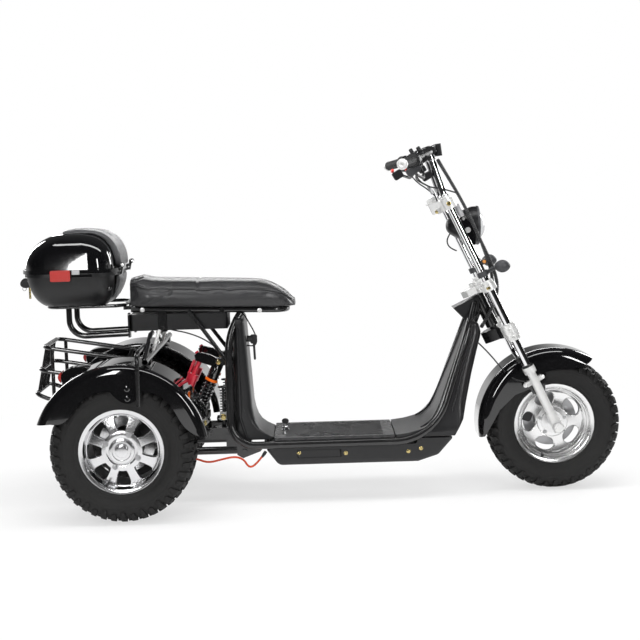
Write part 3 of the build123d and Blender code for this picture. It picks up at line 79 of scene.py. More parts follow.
def read_points(items, what="co"):
    """One vector of each item of a mesh, as rows."""
    flat = np.empty(len(items) * 3)
    items.foreach_get(what, flat)
    return flat.reshape(-1, 3)


def placed(name, data):
    """New object of the data, linked to the scene."""
    obj = bpy.data.objects.new(name, data)
    scene.collection.objects.link(obj)
    return obj


def merged(mesh, dist, outward=True):
    """Merges a mesh's doubles, and turns its faces outward."""
    bm = bmesh.new()
    bm.from_mesh(mesh)
    bmesh.ops.remove_doubles(bm, verts=bm.verts, dist=dist)
    if outward:
        bmesh.ops.recalc_face_normals(bm, faces=bm.faces)
    bm.to_mesh(mesh)
    bm.free()


def across(way):
    """Two unit vectors square to way and to each other."""
    way = unit(way)
    side = unit(np.cross(way, Z if abs(way[2]) < 0.9 else X))
    return side, np.cross(way, side)


def curve_through(points, count):
    """Catmull-Rom curve through the points, sampled evenly in its own parameter."""
    p = np.asarray(points, float)
    p = np.vstack([2 * p[0] - p[1], p, 2 * p[-1] - p[-2]])
    t = np.linspace(0, len(p) - 3, count)
    i = np.minimum(t.astype(int), len(p) - 4)
    f = (t - i)[:, None]
    a, b, c, d = p[i], p[i + 1], p[i + 2], p[i + 3]
    return 0.5 * (2 * b + (c - a) * f + (2 * a - 5 * b + 4 * c - d) * f**2 + (3 * b - a - 3 * c + d) * f**3)


def bent(points, radii, steps=8):
    """Straight runs joined by arcs: at each inner corner an arc of its radius touches both runs."""
    p = np.asarray(points, float)
    path = [p[:1]]
    for a, corner, b, r in zip(p[:-2], p[1:-1], p[2:], radii):
        u, v = unit(a - corner), unit(b - corner)
        half = math.acos(np.clip(np.dot(u, v), -1, 1)) / 2
        centre = corner + unit(u + v) * r / math.sin(half)
        start, end = corner + u * r / math.tan(half) - centre, corner + v * r / math.tan(half) - centre
        t = np.linspace(0, 1, steps)[:, None]
        chord = start * (1 - t) + end * t
        path.append(centre + chord / np.linalg.norm(chord, axis=1)[:, None] * r)
    return np.vstack(path + [p[-1:]])


def spline_line(points):
    """Points of the smooth NURBS line that a cable's route gives."""
    data = bpy.data.curves.new("route", "CURVE")
    data.dimensions = "3D"
    data.resolution_u = 24
    line = data.splines.new("NURBS")
    line.points.add(len(points) - 1)
    for place, point in zip(line.points, points):
        place.co = (*point, 1)
    line.order_u = 3
    line.use_endpoint_u = True
    holder = bpy.data.objects.new("route", data)
    mesh = bpy.data.meshes.new_from_object(holder)
    line = read_points(mesh.vertices)
    bpy.data.objects.remove(holder)
    bpy.data.meshes.remove(mesh)
    return line


def evenly(points, count):
    """The smooth line through a route, with its points spaced evenly."""
    path = spline_line(points)
    s = np.r_[0, np.cumsum(np.linalg.norm(np.diff(path, axis=0), axis=1))]
    return np.stack([np.interp(np.linspace(0, s[-1], count), s, path[:, k]) for k in range(3)], 1)


def grid_quads(rows, cols, close_rows=False, close_cols=False):
    """Quads of a grid of rows by cols points, joined round in either direction if it is closed."""
    index = np.arange(rows * cols).reshape(rows, cols)
    if close_rows:
        index = np.vstack([index, index[:1]])
    if close_cols:
        index = np.hstack([index, index[:, :1]])
    return np.stack([index[:-1, :-1], index[1:, :-1], index[1:, 1:], index[:-1, 1:]], -1).reshape(-1, 4)


class Batch:
    """Closed shells that make up one piece, each with the number of its finish."""

    def __init__(self):
        self.verts, self.faces, self.finish, self.count = [], [], [], 0

    def add(self, verts, faces, finish=0):
        verts = np.asarray(verts, float).reshape(-1, 3)
        self.verts.append(verts)
        for block in faces:
            block = np.asarray(block) + self.count
            self.faces += block.tolist()
            self.finish.append(np.full(len(block), finish))
        self.count += len(verts)
        return self

    def skin(self, rings, finish=0):
        """Rings of points joined one to the next, with a flat cap at each end."""
        rows, cols = np.shape(rings)[:2]
        caps = [np.arange(cols)[None, ::-1], ((rows - 1) * cols + np.arange(cols))[None]]
        return self.add(rings, [grid_quads(rows, cols, False, True)] + caps, finish)

    def turned(self, profile, origin, way, steps=40, finish=0, ring=False):
        """Body of revolution: profile rows are (radius, distance along way), turned about the line
        through origin. A ring's profile closes on itself."""
        profile = np.asarray(profile, float)
        a, b = across(way)
        t = np.arange(steps) * 2 * math.pi / steps
        spoke = np.cos(t)[:, None] * a + np.sin(t)[:, None] * b
        points = (
            np.asarray(origin, float)
            + profile[:, 1][:, None, None] * unit(way)
            + profile[:, 0][:, None, None] * spoke[None]
        )
        if ring:
            return self.add(points, [grid_quads(len(profile), steps, True, True)], finish)
        return self.skin(points, finish)

    def pipe(self, path, radius, steps=14, finish=0):
        """Round tube along a path: rings square to the path, turned as little as may be from one to
        the next. radius is one number or one for each point."""
        path = np.asarray(path, float)
        way = np.gradient(path, axis=0)
        way /= np.linalg.norm(way, axis=1)[:, None]
        side = np.empty_like(path)
        side[0] = across(way[0])[0]
        for i in range(1, len(path)):
            side[i] = unit(side[i - 1] - way[i] * np.dot(side[i - 1], way[i]))
        up = np.cross(way, side)
        t = np.arange(steps) * 2 * math.pi / steps
        r = np.broadcast_to(radius, len(path))[:, None, None]
        c, s = np.cos(t)[None, :, None], np.sin(t)[None, :, None]
        points = path[:, None] + r * (c * side[:, None] + s * up[:, None])
        return self.skin(points, finish)

    def block(self, centre, size, axes=(X, Y, Z), corner=0.003, edge=0.0015, finish=0):
        """Block with rounded corners about its third axis and softened ends: rounded rectangles
        stacked along that axis, the end ones drawn in by the edge."""
        w, h, d = size
        t = np.linspace(0, math.pi / 2, 5)
        quarter = np.stack([np.cos(t), np.sin(t)], 1) * corner
        loop = []
        for k, (sx, sy) in enumerate(QUARTERS):
            arc = quarter if k % 2 == 0 else quarter[::-1]
            loop.append(arc * (sx, sy) + (sx * (w / 2 - corner), sy * (h / 2 - corner)))
        loop = np.vstack(loop)
        a, b, c = (unit(v) for v in axes)
        rings = []
        for z, inset in ((-d / 2, edge), (-d / 2 + edge, 0), (d / 2 - edge, 0), (d / 2, edge)):
            shape = loop * (1 - 2 * inset / np.array([w, h]))
            rings.append(np.asarray(centre, float) + shape[:, :1] * a + shape[:, 1:] * b + z * c)
        return self.skin(rings, finish)

    def plate(self, outline, origin, a, b, thickness, edge=0.0012, finish=0):
        """Flat plate: an outline in the plane of a and b, thickened along their cross product, with
        its rims drawn towards its middle by the edge."""
        shape = np.asarray(outline, float)
        middle = shape.mean(0)
        reach = np.linalg.norm(shape - middle, axis=1)[:, None]
        inner = middle + (shape - middle) * (1 - edge / reach)
        a, b = unit(a), unit(b)
        c = np.cross(a, b)
        rings = []
        for z, loop in ((0, inner), (edge, shape), (thickness - edge, shape), (thickness, inner)):
            rings.append(np.asarray(origin, float) + loop[:, :1] * a + loop[:, 1:] * b + z * c)
        return self.skin(rings, finish)

    def stack(self, levels):
        """Loft of rounded rectangles lying flat: rows of height, rear, front, half width, corner radius."""
        z, rear, front, half, r = np.asarray(levels, float).T[:, :, None]
        t = np.linspace(0, math.pi / 2, 8)[None]
        xs, ys = [], []
        for k, (sx, sy) in enumerate(QUARTERS):
            a = t + k * math.pi / 2
            xs.append((front - r if sx > 0 else rear + r) + r * np.cos(a))
            ys.append(sy * (half - r) + r * np.sin(a))
        flat_x, flat_y = np.hstack(xs), np.hstack(ys)
        return self.skin(np.stack([flat_x, flat_y, np.broadcast_to(z, flat_x.shape)], -1))

    def bolt(self, seat, way, across_flats=0.01, height=0.005, washer=True, finish=0, kind="hex"):
        """Bolt head standing on seat: a washer, then a hexagon or a round head with a socket."""
        r = across_flats / 2
        base = 0.0012 if washer else 0.0
        top = base + height
        if washer:
            rows = [(0, -0.002), (r * 1.75, -0.002), (r * 1.75, 0.0009), (r * 1.6, base), (0, base)]
            self.turned(rows, seat, way, 24, finish)
        if kind == "hex":
            rh = r * 1.1547
            rows = [(0, 0), (rh, base - 0.001), (rh, base + height * 0.8), (rh * 0.86, top), (0, top)]
        elif kind == "dome":
            t = np.linspace(0, math.pi / 2, 7)
            rows = np.vstack([[(0, 0)], np.stack([r * 1.25 * np.cos(t), base + height * np.sin(t)], 1)])
        else:
            rows = mm(0, 0, 1200, 0, 1200, 850, 1050, 1000, 620, 1000, 580, 450, 0, 400) * (r, top)
        return self.turned(rows, seat, way, 6 if kind == "hex" else 24, finish)

    def piece(self, name, finishes, body, slot_name, replaced=(), crease=38):
        """The batch as one object on a body, its doubles merged, its faces outward."""
        mesh = bpy.data.meshes.new(name)
        mesh.from_pydata(np.vstack(self.verts), [], self.faces)
        for finish in finishes:
            mesh.materials.append(finish)
        mesh.polygons.foreach_set("material_index", np.concatenate(self.finish).astype(np.int32))
        merged(mesh, 1e-6)
        mesh.polygons.foreach_set("use_smooth", np.ones(len(mesh.polygons), bool))
        mesh.set_sharp_from_angle(angle=math.radians(crease))
        return settle(placed(name, mesh), body, replaced)


def settle(obj, body, replaced=()):
    """Puts a finished piece on its body and the nodes it stands for."""
    if body:
        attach(obj, body)
    if replaced:
        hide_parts(*replaced)
    return obj


# ---------------------------------------------------------------- nodes
def feed(made, **values):
    """Sets or links inputs of a node by label, with _ for a space; _0 is the first input, and so on."""
    for key, value in values.items():
        place = made.inputs[int(key[1:]) if key[1:].isdigit() else key.replace("_", " ")]
        if isinstance(value, bpy.types.NodeSocket):
            made.id_data.links.new(value, place)
        else:
            place.default_value = value
    return made


def node(tree, kind, **settings):
    """New node: settings in small letters are its own properties, the others its inputs."""
    made = tree.nodes.new("ShaderNode" + kind)
    own = {key: value for key, value in settings.items() if key[0].islower()}
    for key, value in own.items():
        setattr(made, key, value)
    return feed(made, **{key: value for key, value in settings.items() if key not in own})


def tree_of(*values):
    """Node tree of the first socket among the values."""
    return next(v.id_data for v in values if isinstance(v, bpy.types.NodeSocket))


def maths(operation, *values, clamp=False):
    """Math node on sockets or numbers; returns its output."""
    made = node(tree_of(*values), "Math", operation=operation, use_clamp=clamp)
    return feed(made, **{f"_{k}": value for k, value in enumerate(values)}).outputs[0]


def mixed(factor, a, b):
    """Colour a turning to colour b by the factor."""
    return node(tree_of(factor, a, b), "Mix", data_type="RGBA", _0=factor, _6=a, _7=b).outputs[2]


def eased(value, start, end, low=0.0, high=1.0):
    """The value eased from low to high as it runs from start to end."""
    return node(
        tree_of(value), "MapRange", interpolation_type="SMOOTHSTEP", Value=value,
        From_Min=start, From_Max=end, To_Min=low, To_Max=high,
    ).outputs[0]


def bump(height, strength, distance, **more):
    """Normal of a relief given as height."""
    return node(tree_of(height), "Bump", Strength=strength, Distance=distance, Height=height, **more).outputs[0]


def value_group(name, inputs, outputs):
    """Empty node group; each socket is given as its label and f, c or v: float, colour or vector."""
    group = bpy.data.node_groups.new(name, "ShaderNodeTree")
    kinds = {"f": "NodeSocketFloat", "c": "NodeSocketColor", "v": "NodeSocketVector"}
    for way, sockets in (("INPUT", inputs), ("OUTPUT", outputs)):
        for label, kind in sockets.items():
            group.interface.new_socket(name=label, in_out=way, socket_type=kinds[kind])
    return group, group.nodes.new("NodeGroupInput").outputs, group.nodes.new("NodeGroupOutput")


def build_surface_group():
    """Broad mottling, a fine grain and settled dust on the lower parts, as colour, roughness and height."""
    group, given, out = value_group(
        "Surface variation",
        {"Vector": "v", "Base": "c", "Dust": "c", "Dust Amount": "f", "Roughness": "f", "Spread": "f",
        "Grain Scale": "f"},
        {"Color": "c", "Roughness": "f", "Height": "f", "Dust Mask": "f"},
    )
    place = given["Vector"]
    broad = node(group, "TexNoise", Vector=place, Scale=7.0, Detail=5.0, Roughness=0.6).outputs[0]
    fine = node(group, "TexNoise", Vector=place, Scale=given["Grain Scale"], Detail=3.0, Roughness=0.55).outputs[0]
    specks = node(group, "TexNoise", Vector=place, Scale=90.0, Detail=4.0, Roughness=0.7).outputs[0]
    height = node(group, "SeparateXYZ", _0=place).outputs["Z"]
    low = eased(height, 0.02, 0.75, 1.0, 0.15)
    patchy = maths("MULTIPLY", maths("MULTIPLY", broad, specks), 2.6)
    dust = maths("MULTIPLY", maths("MULTIPLY", patchy, low), given["Dust Amount"], clamp=True)
    uneven = maths("SUBTRACT", broad, 0.5)
    shade = maths("MULTIPLY_ADD", uneven, 0.35, 1.0)
    tinted = node(group, "VectorMath", operation="SCALE", _0=given["Base"], Scale=shade).outputs[0]
    rough = maths("ADD", maths("MULTIPLY", uneven, given["Spread"]), given["Roughness"])
    rough = maths("ADD", rough, maths("MULTIPLY", dust, 0.35), clamp=True)
    feed(out, Color=mixed(dust, tinted, given["Dust"]), Roughness=rough, Height=fine, Dust_Mask=dust)
    return group


def build_turning_group():
    """Fine rings about a wheel's middle: noise read along the radius, in the plane of X and Z."""
    group, given, out = value_group("Turning rings", {"Vector": "v", "Scale": "f"}, {"Height": "f"})
    flat = node(group, "VectorMath", operation="MULTIPLY", _0=given["Vector"], _1=(1, 0, 1)).outputs[0]
    size = node(group, "VectorMath", operation="LENGTH", _0=flat).outputs["Value"]
    rings = node(group, "TexNoise", noise_dimensions="1D", W=size, Scale=given["Scale"], Detail=3.0, Roughness=0.7)
    feed(out, Height=rings.outputs[0])
    return group


def build_leather_group():
    """Pebbled hide: warped cells, with the creases between them as a mask for painted shade."""
    group, given, out = value_group("Pebbled hide", {"Vector": "v", "Scale": "f"}, {"Height": "f", "Crease": "f"})
    warp = node(group, "TexNoise", Vector=given["Vector"], Scale=60.0, Detail=2.0).outputs["Color"]
    warped = node(group, "Mix", data_type="VECTOR", _0=0.006, _4=given["Vector"], _5=warp).outputs[1]
    cells = node(group, "TexVoronoi", feature="DISTANCE_TO_EDGE", Vector=warped, Scale=given["Scale"])
    pebble = eased(cells.outputs["Distance"], 0.0, 0.22)
    feed(out, Height=pebble, Crease=maths("SUBTRACT", 1.0, pebble))
    return group


surface_group = build_surface_group()
turning_group = build_turning_group()
leather_group = build_leather_group()
DUST = (0.17, 0.166, 0.16, 1)


# ---------------------------------------------------------------- finishes
def new_finish(name):
    """Material with its Principled shader and a socket of Object coordinates."""
    made = bpy.data.materials.new(name)
    made.use_nodes = True
    tree = made.node_tree
    return made, tree, tree.nodes["Principled BSDF"], node(tree, "TexCoord").outputs["Object"]


def varied(place, base, rough, dust, spread, grain):
    """Outputs of the shared variation about a base colour and roughness."""
    return node(
        tree_of(place), "Group", node_tree=surface_group, Vector=place, Base=(*base, 1), Dust=DUST, Dust_Amount=dust,
        Roughness=rough, Spread=spread, Grain_Scale=grain,
    ).outputs


def plain(
    name, base, rough, dust=0.1, spread=0.12, grain=400.0, relief=0.0002,
    metallic=0.0, coat=0.0, coat_rough=0.05, level=0.5,
):
    """Paint, plastic, rubber or metal from the shared variation, with its grain as a bump."""
    made, _, shader, place = new_finish(name)
    vary = varied(place, base, rough, dust, spread, grain)
    feed(
        shader, Base_Color=vary["Color"], Roughness=vary["Roughness"], Metallic=metallic, Coat_Weight=coat,
        Coat_Roughness=coat_rough, Specular_IOR_Level=level,
    )
    if relief:
        feed(shader, Normal=bump(vary["Height"], 0.6, relief))
    return made


def turned_finish(name, base, rough, centre, rings=900.0, relief=0.00025):
    """Turned alloy of a wheel: fine rings about its middle."""
    made, tree, shader, place = new_finish(name)
    shift = node(tree, "Mapping", Vector=place, Location=[-c for c in centre]).outputs[0]
    vary = varied(place, base, rough, 0.03, 0.16, 220.0)
    cut = node(tree, "Group", node_tree=turning_group, Vector=shift, Scale=rings).outputs[0]
    feed(
        shader, Base_Color=vary["Color"], Roughness=vary["Roughness"], Metallic=1.0, Anisotropic=0.35,
        Normal=bump(cut, 0.5, relief),
    )
    return made


def hide_finish(name, base, rough, scale=520.0):
    """Upholstery vinyl with a pebbled grain, its creases darkened a little as painted shade."""
    made, tree, shader, place = new_finish(name)
    vary = varied(place, base, rough, 0.05, 0.18, 60.0)
    hide = node(tree, "Group", node_tree=leather_group, Vector=place, Scale=scale).outputs
    wavy = bump(vary["Height"], 0.25, 0.002)
    feed(
        # painted shade: the grain's creases mixed towards near black
        shader, Base_Color=mixed(maths("MULTIPLY", hide["Crease"], 0.45), vary["Color"], (0.003, 0.003, 0.003, 1)),
        Roughness=vary["Roughness"], Coat_Weight=0.35, Coat_Roughness=0.24, Sheen_Weight=0.06, Sheen_Roughness=0.4,
        Normal=bump(hide["Height"], 0.35, 0.0006, Normal=wavy),
    )
    return made


def lens_finish(name, base):
    """Moulded reflector plastic: rows of small prisms under a clear coat, each prism darkened away from its middle as
    painted shade of its facets.
    """
    made, tree, shader, place = new_finish(name)
    prisms = node(tree, "TexVoronoi", Vector=place, Scale=260.0, Randomness=0.0).outputs["Distance"]
    # painted shade: colour falls to a third of the base away from each prism's middle
    shade = mixed(maths("MULTIPLY", prisms, 0.9, clamp=True), (*base, 1), tuple(c * 0.35 for c in base) + (1,))
    feed(shader, Base_Color=shade, Roughness=0.28, Coat_Weight=1.0, Coat_Roughness=0.04,
        Normal=bump(prisms, 0.35, 0.0008))
    return made


def fender_finish(name, centre):
    """Gloss black outside and matt undercoat inside: the inside is where a face looks at the wheel's
    axle, or looks across to the fender's other wall."""
    made, tree, shader, place = new_finish(name)
    vary = varied(place, (0.0035, 0.0035, 0.004), 0.06, 0.02, 0.03, 90.0)
    shift = node(tree, "VectorMath", operation="SUBTRACT", _0=place, _1=centre).outputs[0]
    look = node(tree, "SeparateXYZ", _0=node(tree, "NewGeometry").outputs["Normal"]).outputs
    spot = node(tree, "SeparateXYZ", _0=shift).outputs
    radial = maths("ADD", maths("MULTIPLY", look["X"], spot["X"]), maths("MULTIPLY", look["Z"], spot["Z"]))
    sideways = maths("MULTIPLY", look["Y"], maths("SIGN", spot["Y"]))
    inner = maths("MAXIMUM", maths("LESS_THAN", radial, -0.04), maths("LESS_THAN", sideways, -0.4))
    feed(
        shader, Base_Color=mixed(inner, vary["Color"], (0.0035, 0.0035, 0.0035, 1)),
        Roughness=maths("ADD", vary["Roughness"], maths("MULTIPLY", inner, 0.8), clamp=True),
        Coat_Weight=maths("SUBTRACT", 1.0, inner), Coat_Roughness=0.02, Specular_IOR_Level=0.4,
    )
    return made


def yoke_finish():
    """Satin alloy whose lower bridge is black behind the tubes: the black lies where the distance up
    the fork and the distance ahead of it are both under a limit."""
    made, tree, shader, place = new_finish("Yoke alloy")
    vary = varied(place, (0.82, 0.82, 0.81), 0.28, 0.02, 0.12, 420.0)
    limits = []
    for axis, limit in ((fork_x, -0.026), (fork_z, 0.4)):
        run = node(tree, "VectorMath", operation="DOT_PRODUCT", _0=place, _1=axis)
        limits.append(maths("LESS_THAN", run.outputs["Value"], float(front_hub @ axis + limit)))
    dark = maths("MULTIPLY", *limits)
    feed(
        shader, Base_Color=mixed(dark, vary["Color"], (0.008, 0.008, 0.009, 1)), Roughness=vary["Roughness"],
        Metallic=maths("MULTIPLY", maths("SUBTRACT", 1.0, dark), 0.4),
    )
    return made


rear_hub = {side: np.array([-0.655, side * 0.293, 0.242]) for side in (RIGHT, LEFT)}
front_hub = np.array([0.813, 0.0, 0.235])
LEAN = math.radians(25)
fork_x = np.array([math.cos(LEAN), 0, math.sin(LEAN)])
fork_z = np.array([-math.sin(LEAN), 0, math.cos(LEAN)])

# name, base colour, roughness, dust, spread of roughness, grain scale, relief
frame_paint = plain("Frame enamel", (0.007, 0.007, 0.0075), 0.2, 0.06, 0.1, 700, 0.00012, coat=0.6, coat_rough=0.06)
gloss_black = plain("Gloss black", (0.0035, 0.0035, 0.004), 0.06, 0.02, 0.03, 90, 0.00004, coat=1.0, coat_rough=0.02)
cover_plastic = plain(
    "Grained cover plastic", (0.0115, 0.0115, 0.0125), 0.3, 0.03, 0.12, 900, coat=0.12, coat_rough=0.12, level=0.4
)
base_plastic = plain("Box base plastic", (0.0085, 0.0085, 0.0092), 0.34, 0.04, 0.1, 1100, 0.0003)
case_plastic = plain("Housing plastic", (0.0095, 0.0095, 0.0105), 0.34, 0.04, 0.12, 800, 0.00025)
dark_grey = plain("Dark grey plastic", (0.045, 0.046, 0.05), 0.42, 0.05, 0.12, 800, 0.00025)
pale_plastic = plain("Pale grey plastic", (0.42, 0.42, 0.43), 0.35, 0.04, 0.12, 700)
lid_plastic = plain("Floor plastic", (0.014, 0.014, 0.0155), 0.26, 0.1, 0.15, 700, 0.0004, coat=0.3, coat_rough=0.14)
rubber = plain("Tyre rubber", (0.0115, 0.0113, 0.0112), 0.62, 0.035, 0.16, 260, 0.0006, level=0.28)
grip_rubber = plain("Grip rubber", (0.0105, 0.0105, 0.011), 0.55, 0.03, 0.15, 500, 0.0004)
chrome = plain("Chrome", (0.8, 0.8, 0.81), 0.05, 0.02, 0.05, 300, 0.0, metallic=1.0)
zinc = plain("Zinc", (0.52, 0.52, 0.53), 0.3, 0.05, 0.2, 500, 0.0001, metallic=1.0)
brass = plain("Brass bolts", (0.62, 0.5, 0.22), 0.26, 0.03, 0.2, 500, 0.0001, metallic=1.0)
cast_alloy = plain("Cast alloy", (0.78, 0.78, 0.77), 0.34, 0.03, 0.15, 650, 0.00025, metallic=0.3)
satin_alloy = plain("Satin alloy", (0.82, 0.82, 0.81), 0.28, 0.02, 0.12, 420, 0.00012, metallic=0.4)
rim_black = plain("Rim black", (0.008, 0.008, 0.009), 0.3, 0.08, 0.15, 500, coat=0.3)
thread = plain("Stitching", (0.05, 0.05, 0.053), 0.7, grain=1500, relief=0.0004)
# headlight lens: opaque near white, a painted reflection standing in for the clear glass and the bright dish behind
# it
lens_painted_reflection = plain("Lamp glass with painted reflection", (0.8, 0.81, 0.82), 0.12, 0.02, 0.04, 60, coat=1.0, coat_rough=0.03)
ribbed_grey = plain("Sleeve rings", (0.05, 0.05, 0.052), 0.38, 0.05, 0.12, 700)
red_metal = plain("Red anodised", (0.62, 0.022, 0.045), 0.3, 0.02, 0.1, 400, 0.0001, metallic=0.3, coat=0.4)
orange_metal = plain("Orange ring", (0.95, 0.16, 0.005), 0.3, 0.02, metallic=0.1)
spring_black = plain("Spring coating", (0.012, 0.012, 0.013), 0.25, 0.05, 0.12, 500, coat=0.5)
cable_black = plain("Cable sleeve", (0.012, 0.012, 0.013), 0.42, 0.04, 0.12, 700)
orange_cable = plain("Orange cable", (0.62, 0.055, 0.005), 0.4, 0.05, 0.12, 600)
red_button = plain("Red button", (0.65, 0.04, 0.03), 0.35, 0.01)
caliper_paint = plain("Caliper paint", (0.03, 0.03, 0.032), 0.38, 0.1, 0.15, 600, 0.0003)
disc_steel = turned_finish("Ground disc", (0.5, 0.5, 0.51), 0.3, front_hub, rings=2400)
polished = turned_finish("Polished alloy", (0.88, 0.88, 0.88), 0.24, front_hub, rings=500, relief=0.00005)
machined, rear_fender_paint = {}, {}
for side in (RIGHT, LEFT):
    rear_fender_paint[side] = fender_finish(f"Rear fender paint {side}", rear_hub[side])
    machined[side] = turned_finish(
        f"Machined alloy {side}", (0.74, 0.74, 0.75), 0.2, rear_hub[side], rings=2200, relief=0.00012
    )
vinyl = hide_finish("Upholstery vinyl", (0.026, 0.026, 0.028), 0.33)
pad_vinyl = hide_finish("Pad vinyl", (0.062, 0.062, 0.066), 0.46, scale=620.0)
red_lens = lens_finish("Red reflector", (0.62, 0.03, 0.022))
amber_lens = lens_finish("Amber lens", (0.75, 0.28, 0.03))

for finish, labels in (
    (frame_paint, "main_frame seat_frame seat_box_straps swing_arm"),
    (frame_paint, "box_carrier rear_rack headlight_bracket handlebar"),
    (cover_plastic, "belly_pan post_cover column_cover"),
    (case_plastic, "battery seat_box shocks box_lock post_lock controller"),
    (case_plastic, "display headlight levers switches bay_lock"),
    (vinyl, "seat_cushion"), (pad_vinyl, "box_pad box_pad_low"), (base_plastic, "box_base"), (lid_plastic, "bay_lid"),
    (zinc, "rear_axle front_axle"), (chrome, "hinge_fixed hinge_moving fork_tubes"), (cast_alloy, "fork_sliders"),
    (rear_fender_paint[LEFT], "fender_rear_left"), (rear_fender_paint[RIGHT], "fender_rear_right"),
    (fender_finish("Front fender paint", front_hub), "front_fender"), (gloss_black, "box_lid tail_lamps"),
    (spring_black, "rear_springs"), (red_lens, "red_lenses"), (caliper_paint, "calipers_rear caliper_front"),
    (orange_cable, "power_cable"), (red_metal, "shock_reservoirs"), (yoke_finish(), "fork_yokes"),
    (grip_rubber, "grips"), (lens_painted_reflection, "headlight_lens"), (dark_grey, "indicators"), (cable_black, "bar_harness"),
    (rubber, "tyre_front tyre_rear_left tyre_rear_right"), (polished, "rim_front"), (disc_steel, "disc_front"),
    (machined[LEFT], "rim_rear_left disc_rear_left"), (machined[RIGHT], "rim_rear_right disc_rear_right"),
):
    for label in labels.split():
        nodes[label].data.materials.clear()
        nodes[label].data.materials.append(finish)


# ---------------------------------------------------------------- tyres
def bell(value, middle, width):
    """Rounded rise of height 1 about the middle."""
    return np.exp(-(((value - middle) / width) ** 2))


def build_tyre(label, node_name, body, centre, radius, half, rim_half, count=42):
    """Tyre: a section from the bead over the sidewall to the crown, turned about the axle, with five
    rows of tread blocks. A block is a patch of the section raised along its normal, steep at its sides."""
    lug = 0.01
    crown = radius - lug
    quarter = np.array([
        (rim_half - 0.007, 0.1275), (rim_half - 0.006, 0.138), (rim_half - 0.001, 0.1425), (half - 0.013, 0.152),
        (half - 0.005, 0.165), (half, 0.182), (half - 0.002, 0.198), (half - 0.01, crown - 0.019),
        (half - 0.024, crown - 0.008), (half - 0.045, crown - 0.003), (half * 0.28, crown - 0.0005), (0, crown),
    ])
    side = curve_through(quarter, 90)
    step = np.r_[0, np.cumsum(np.linalg.norm(np.diff(side, axis=0), axis=1))]
    way = np.gradient(side, step, axis=0)
    normal = np.stack([way[:, 1], -way[:, 0]], 1)
    normal /= np.linalg.norm(normal, axis=1)[:, None]
    ridge = bell(side[:, 1], 0.1495, 0.0018) * 0.0012 + bell(side[:, 1], 0.187, 0.0012) * 0.0008
    outer = side + normal * ridge[:, None]
    section = np.vstack([outer, outer[-2::-1] * (-1, 1)])
    tyre = Batch()
    tyre.turned(section[:, ::-1], centre, Y, 132, 0, ring=True)

    def patch(s0, s1, angle, width, height, mirror, narrow=1.0):
        """One block from s0 to s1 along the section and width across, closed under the tread."""
        s = np.array([s0, s0 + 0.0015, s0 + 0.006, (s0 + s1) / 2, s1 - 0.004, s1 - 0.0012, s1])
        base = np.stack([np.interp(s, step, side[:, k]) for k in (0, 1)], 1)
        lift_way = np.stack([np.interp(s, step, normal[:, k]) for k in (0, 1)], 1)
        rise = np.array([-0.0015, 0.42, 0.62, 1.0, 1.0, 0.9, -0.0015])
        spread = np.array([narrow * 0.42, narrow * 0.5, narrow * 0.86, 1.0, 1.0, 0.97, 1.0])
        t = np.array([-1.0, -0.88, -0.35, 0.35, 0.88, 1.0]) * width / 2
        edge = np.array([0, 1.0, 1.0, 1.0, 1.0, 0])
        high = np.where(rise[:, None] < 0, -0.0015, np.where(edge[None] > 0, rise[:, None] * height, -0.0015))
        spot = base[:, None] + lift_way[:, None] * high[..., None]
        turn = angle + (t[None] * spread[:, None]) / radius
        points = round_axle(turn, spot[..., 1], spot[..., 0] * mirror) + centre
        n, m = points.shape[:2]
        ring_index = np.arange(n * m).reshape(n, m)
        loop = np.r_[ring_index[0], ring_index[1:, -1], ring_index[-1, -2::-1], ring_index[-2:0:-1, 0]]
        tyre.add(points, [grid_quads(n, m), loop[None, ::-1]], 0)

    total = step[-1]
    pitch = 2 * math.pi / count
    width = pitch * radius
    for mirror in (RIGHT, LEFT):
        for k in range(count):
            foot = np.interp(0.1955 if k % 2 else 0.2035, side[:, 1], step)
            patch(foot, total - half * 0.62, pitch * k, width * 0.6, lug * 0.88, mirror, 0.92)
            later = pitch * (k + (0.5 if mirror > 0 else 0.45))
            patch(total - half * 0.56, total - half * 0.2, later, width * 0.66, lug * 0.97, mirror)
    for k in range(count):
        for mirror in (LEFT, RIGHT):
            patch(total - half * 0.14, total, pitch * (k + 0.5), width * 0.6, lug, mirror)
    return tyre.piece(label, [rubber], body, "tyre_black", [node_name], crease=30)


build_tyre("front_tyre", "tyre_front", "front_wheel", front_hub, radius=0.235, half=0.084, rim_half=0.066)
for label, node_name, body, side in (
    ("rear_left_tyre", "tyre_rear_left", "rear_wheel_left", LEFT),
    ("rear_right_tyre", "tyre_rear_right", "rear_wheel_right", RIGHT),
):
    build_tyre(label, node_name, body, rear_hub[side], radius=0.242, half=0.1025, rim_half=0.088)


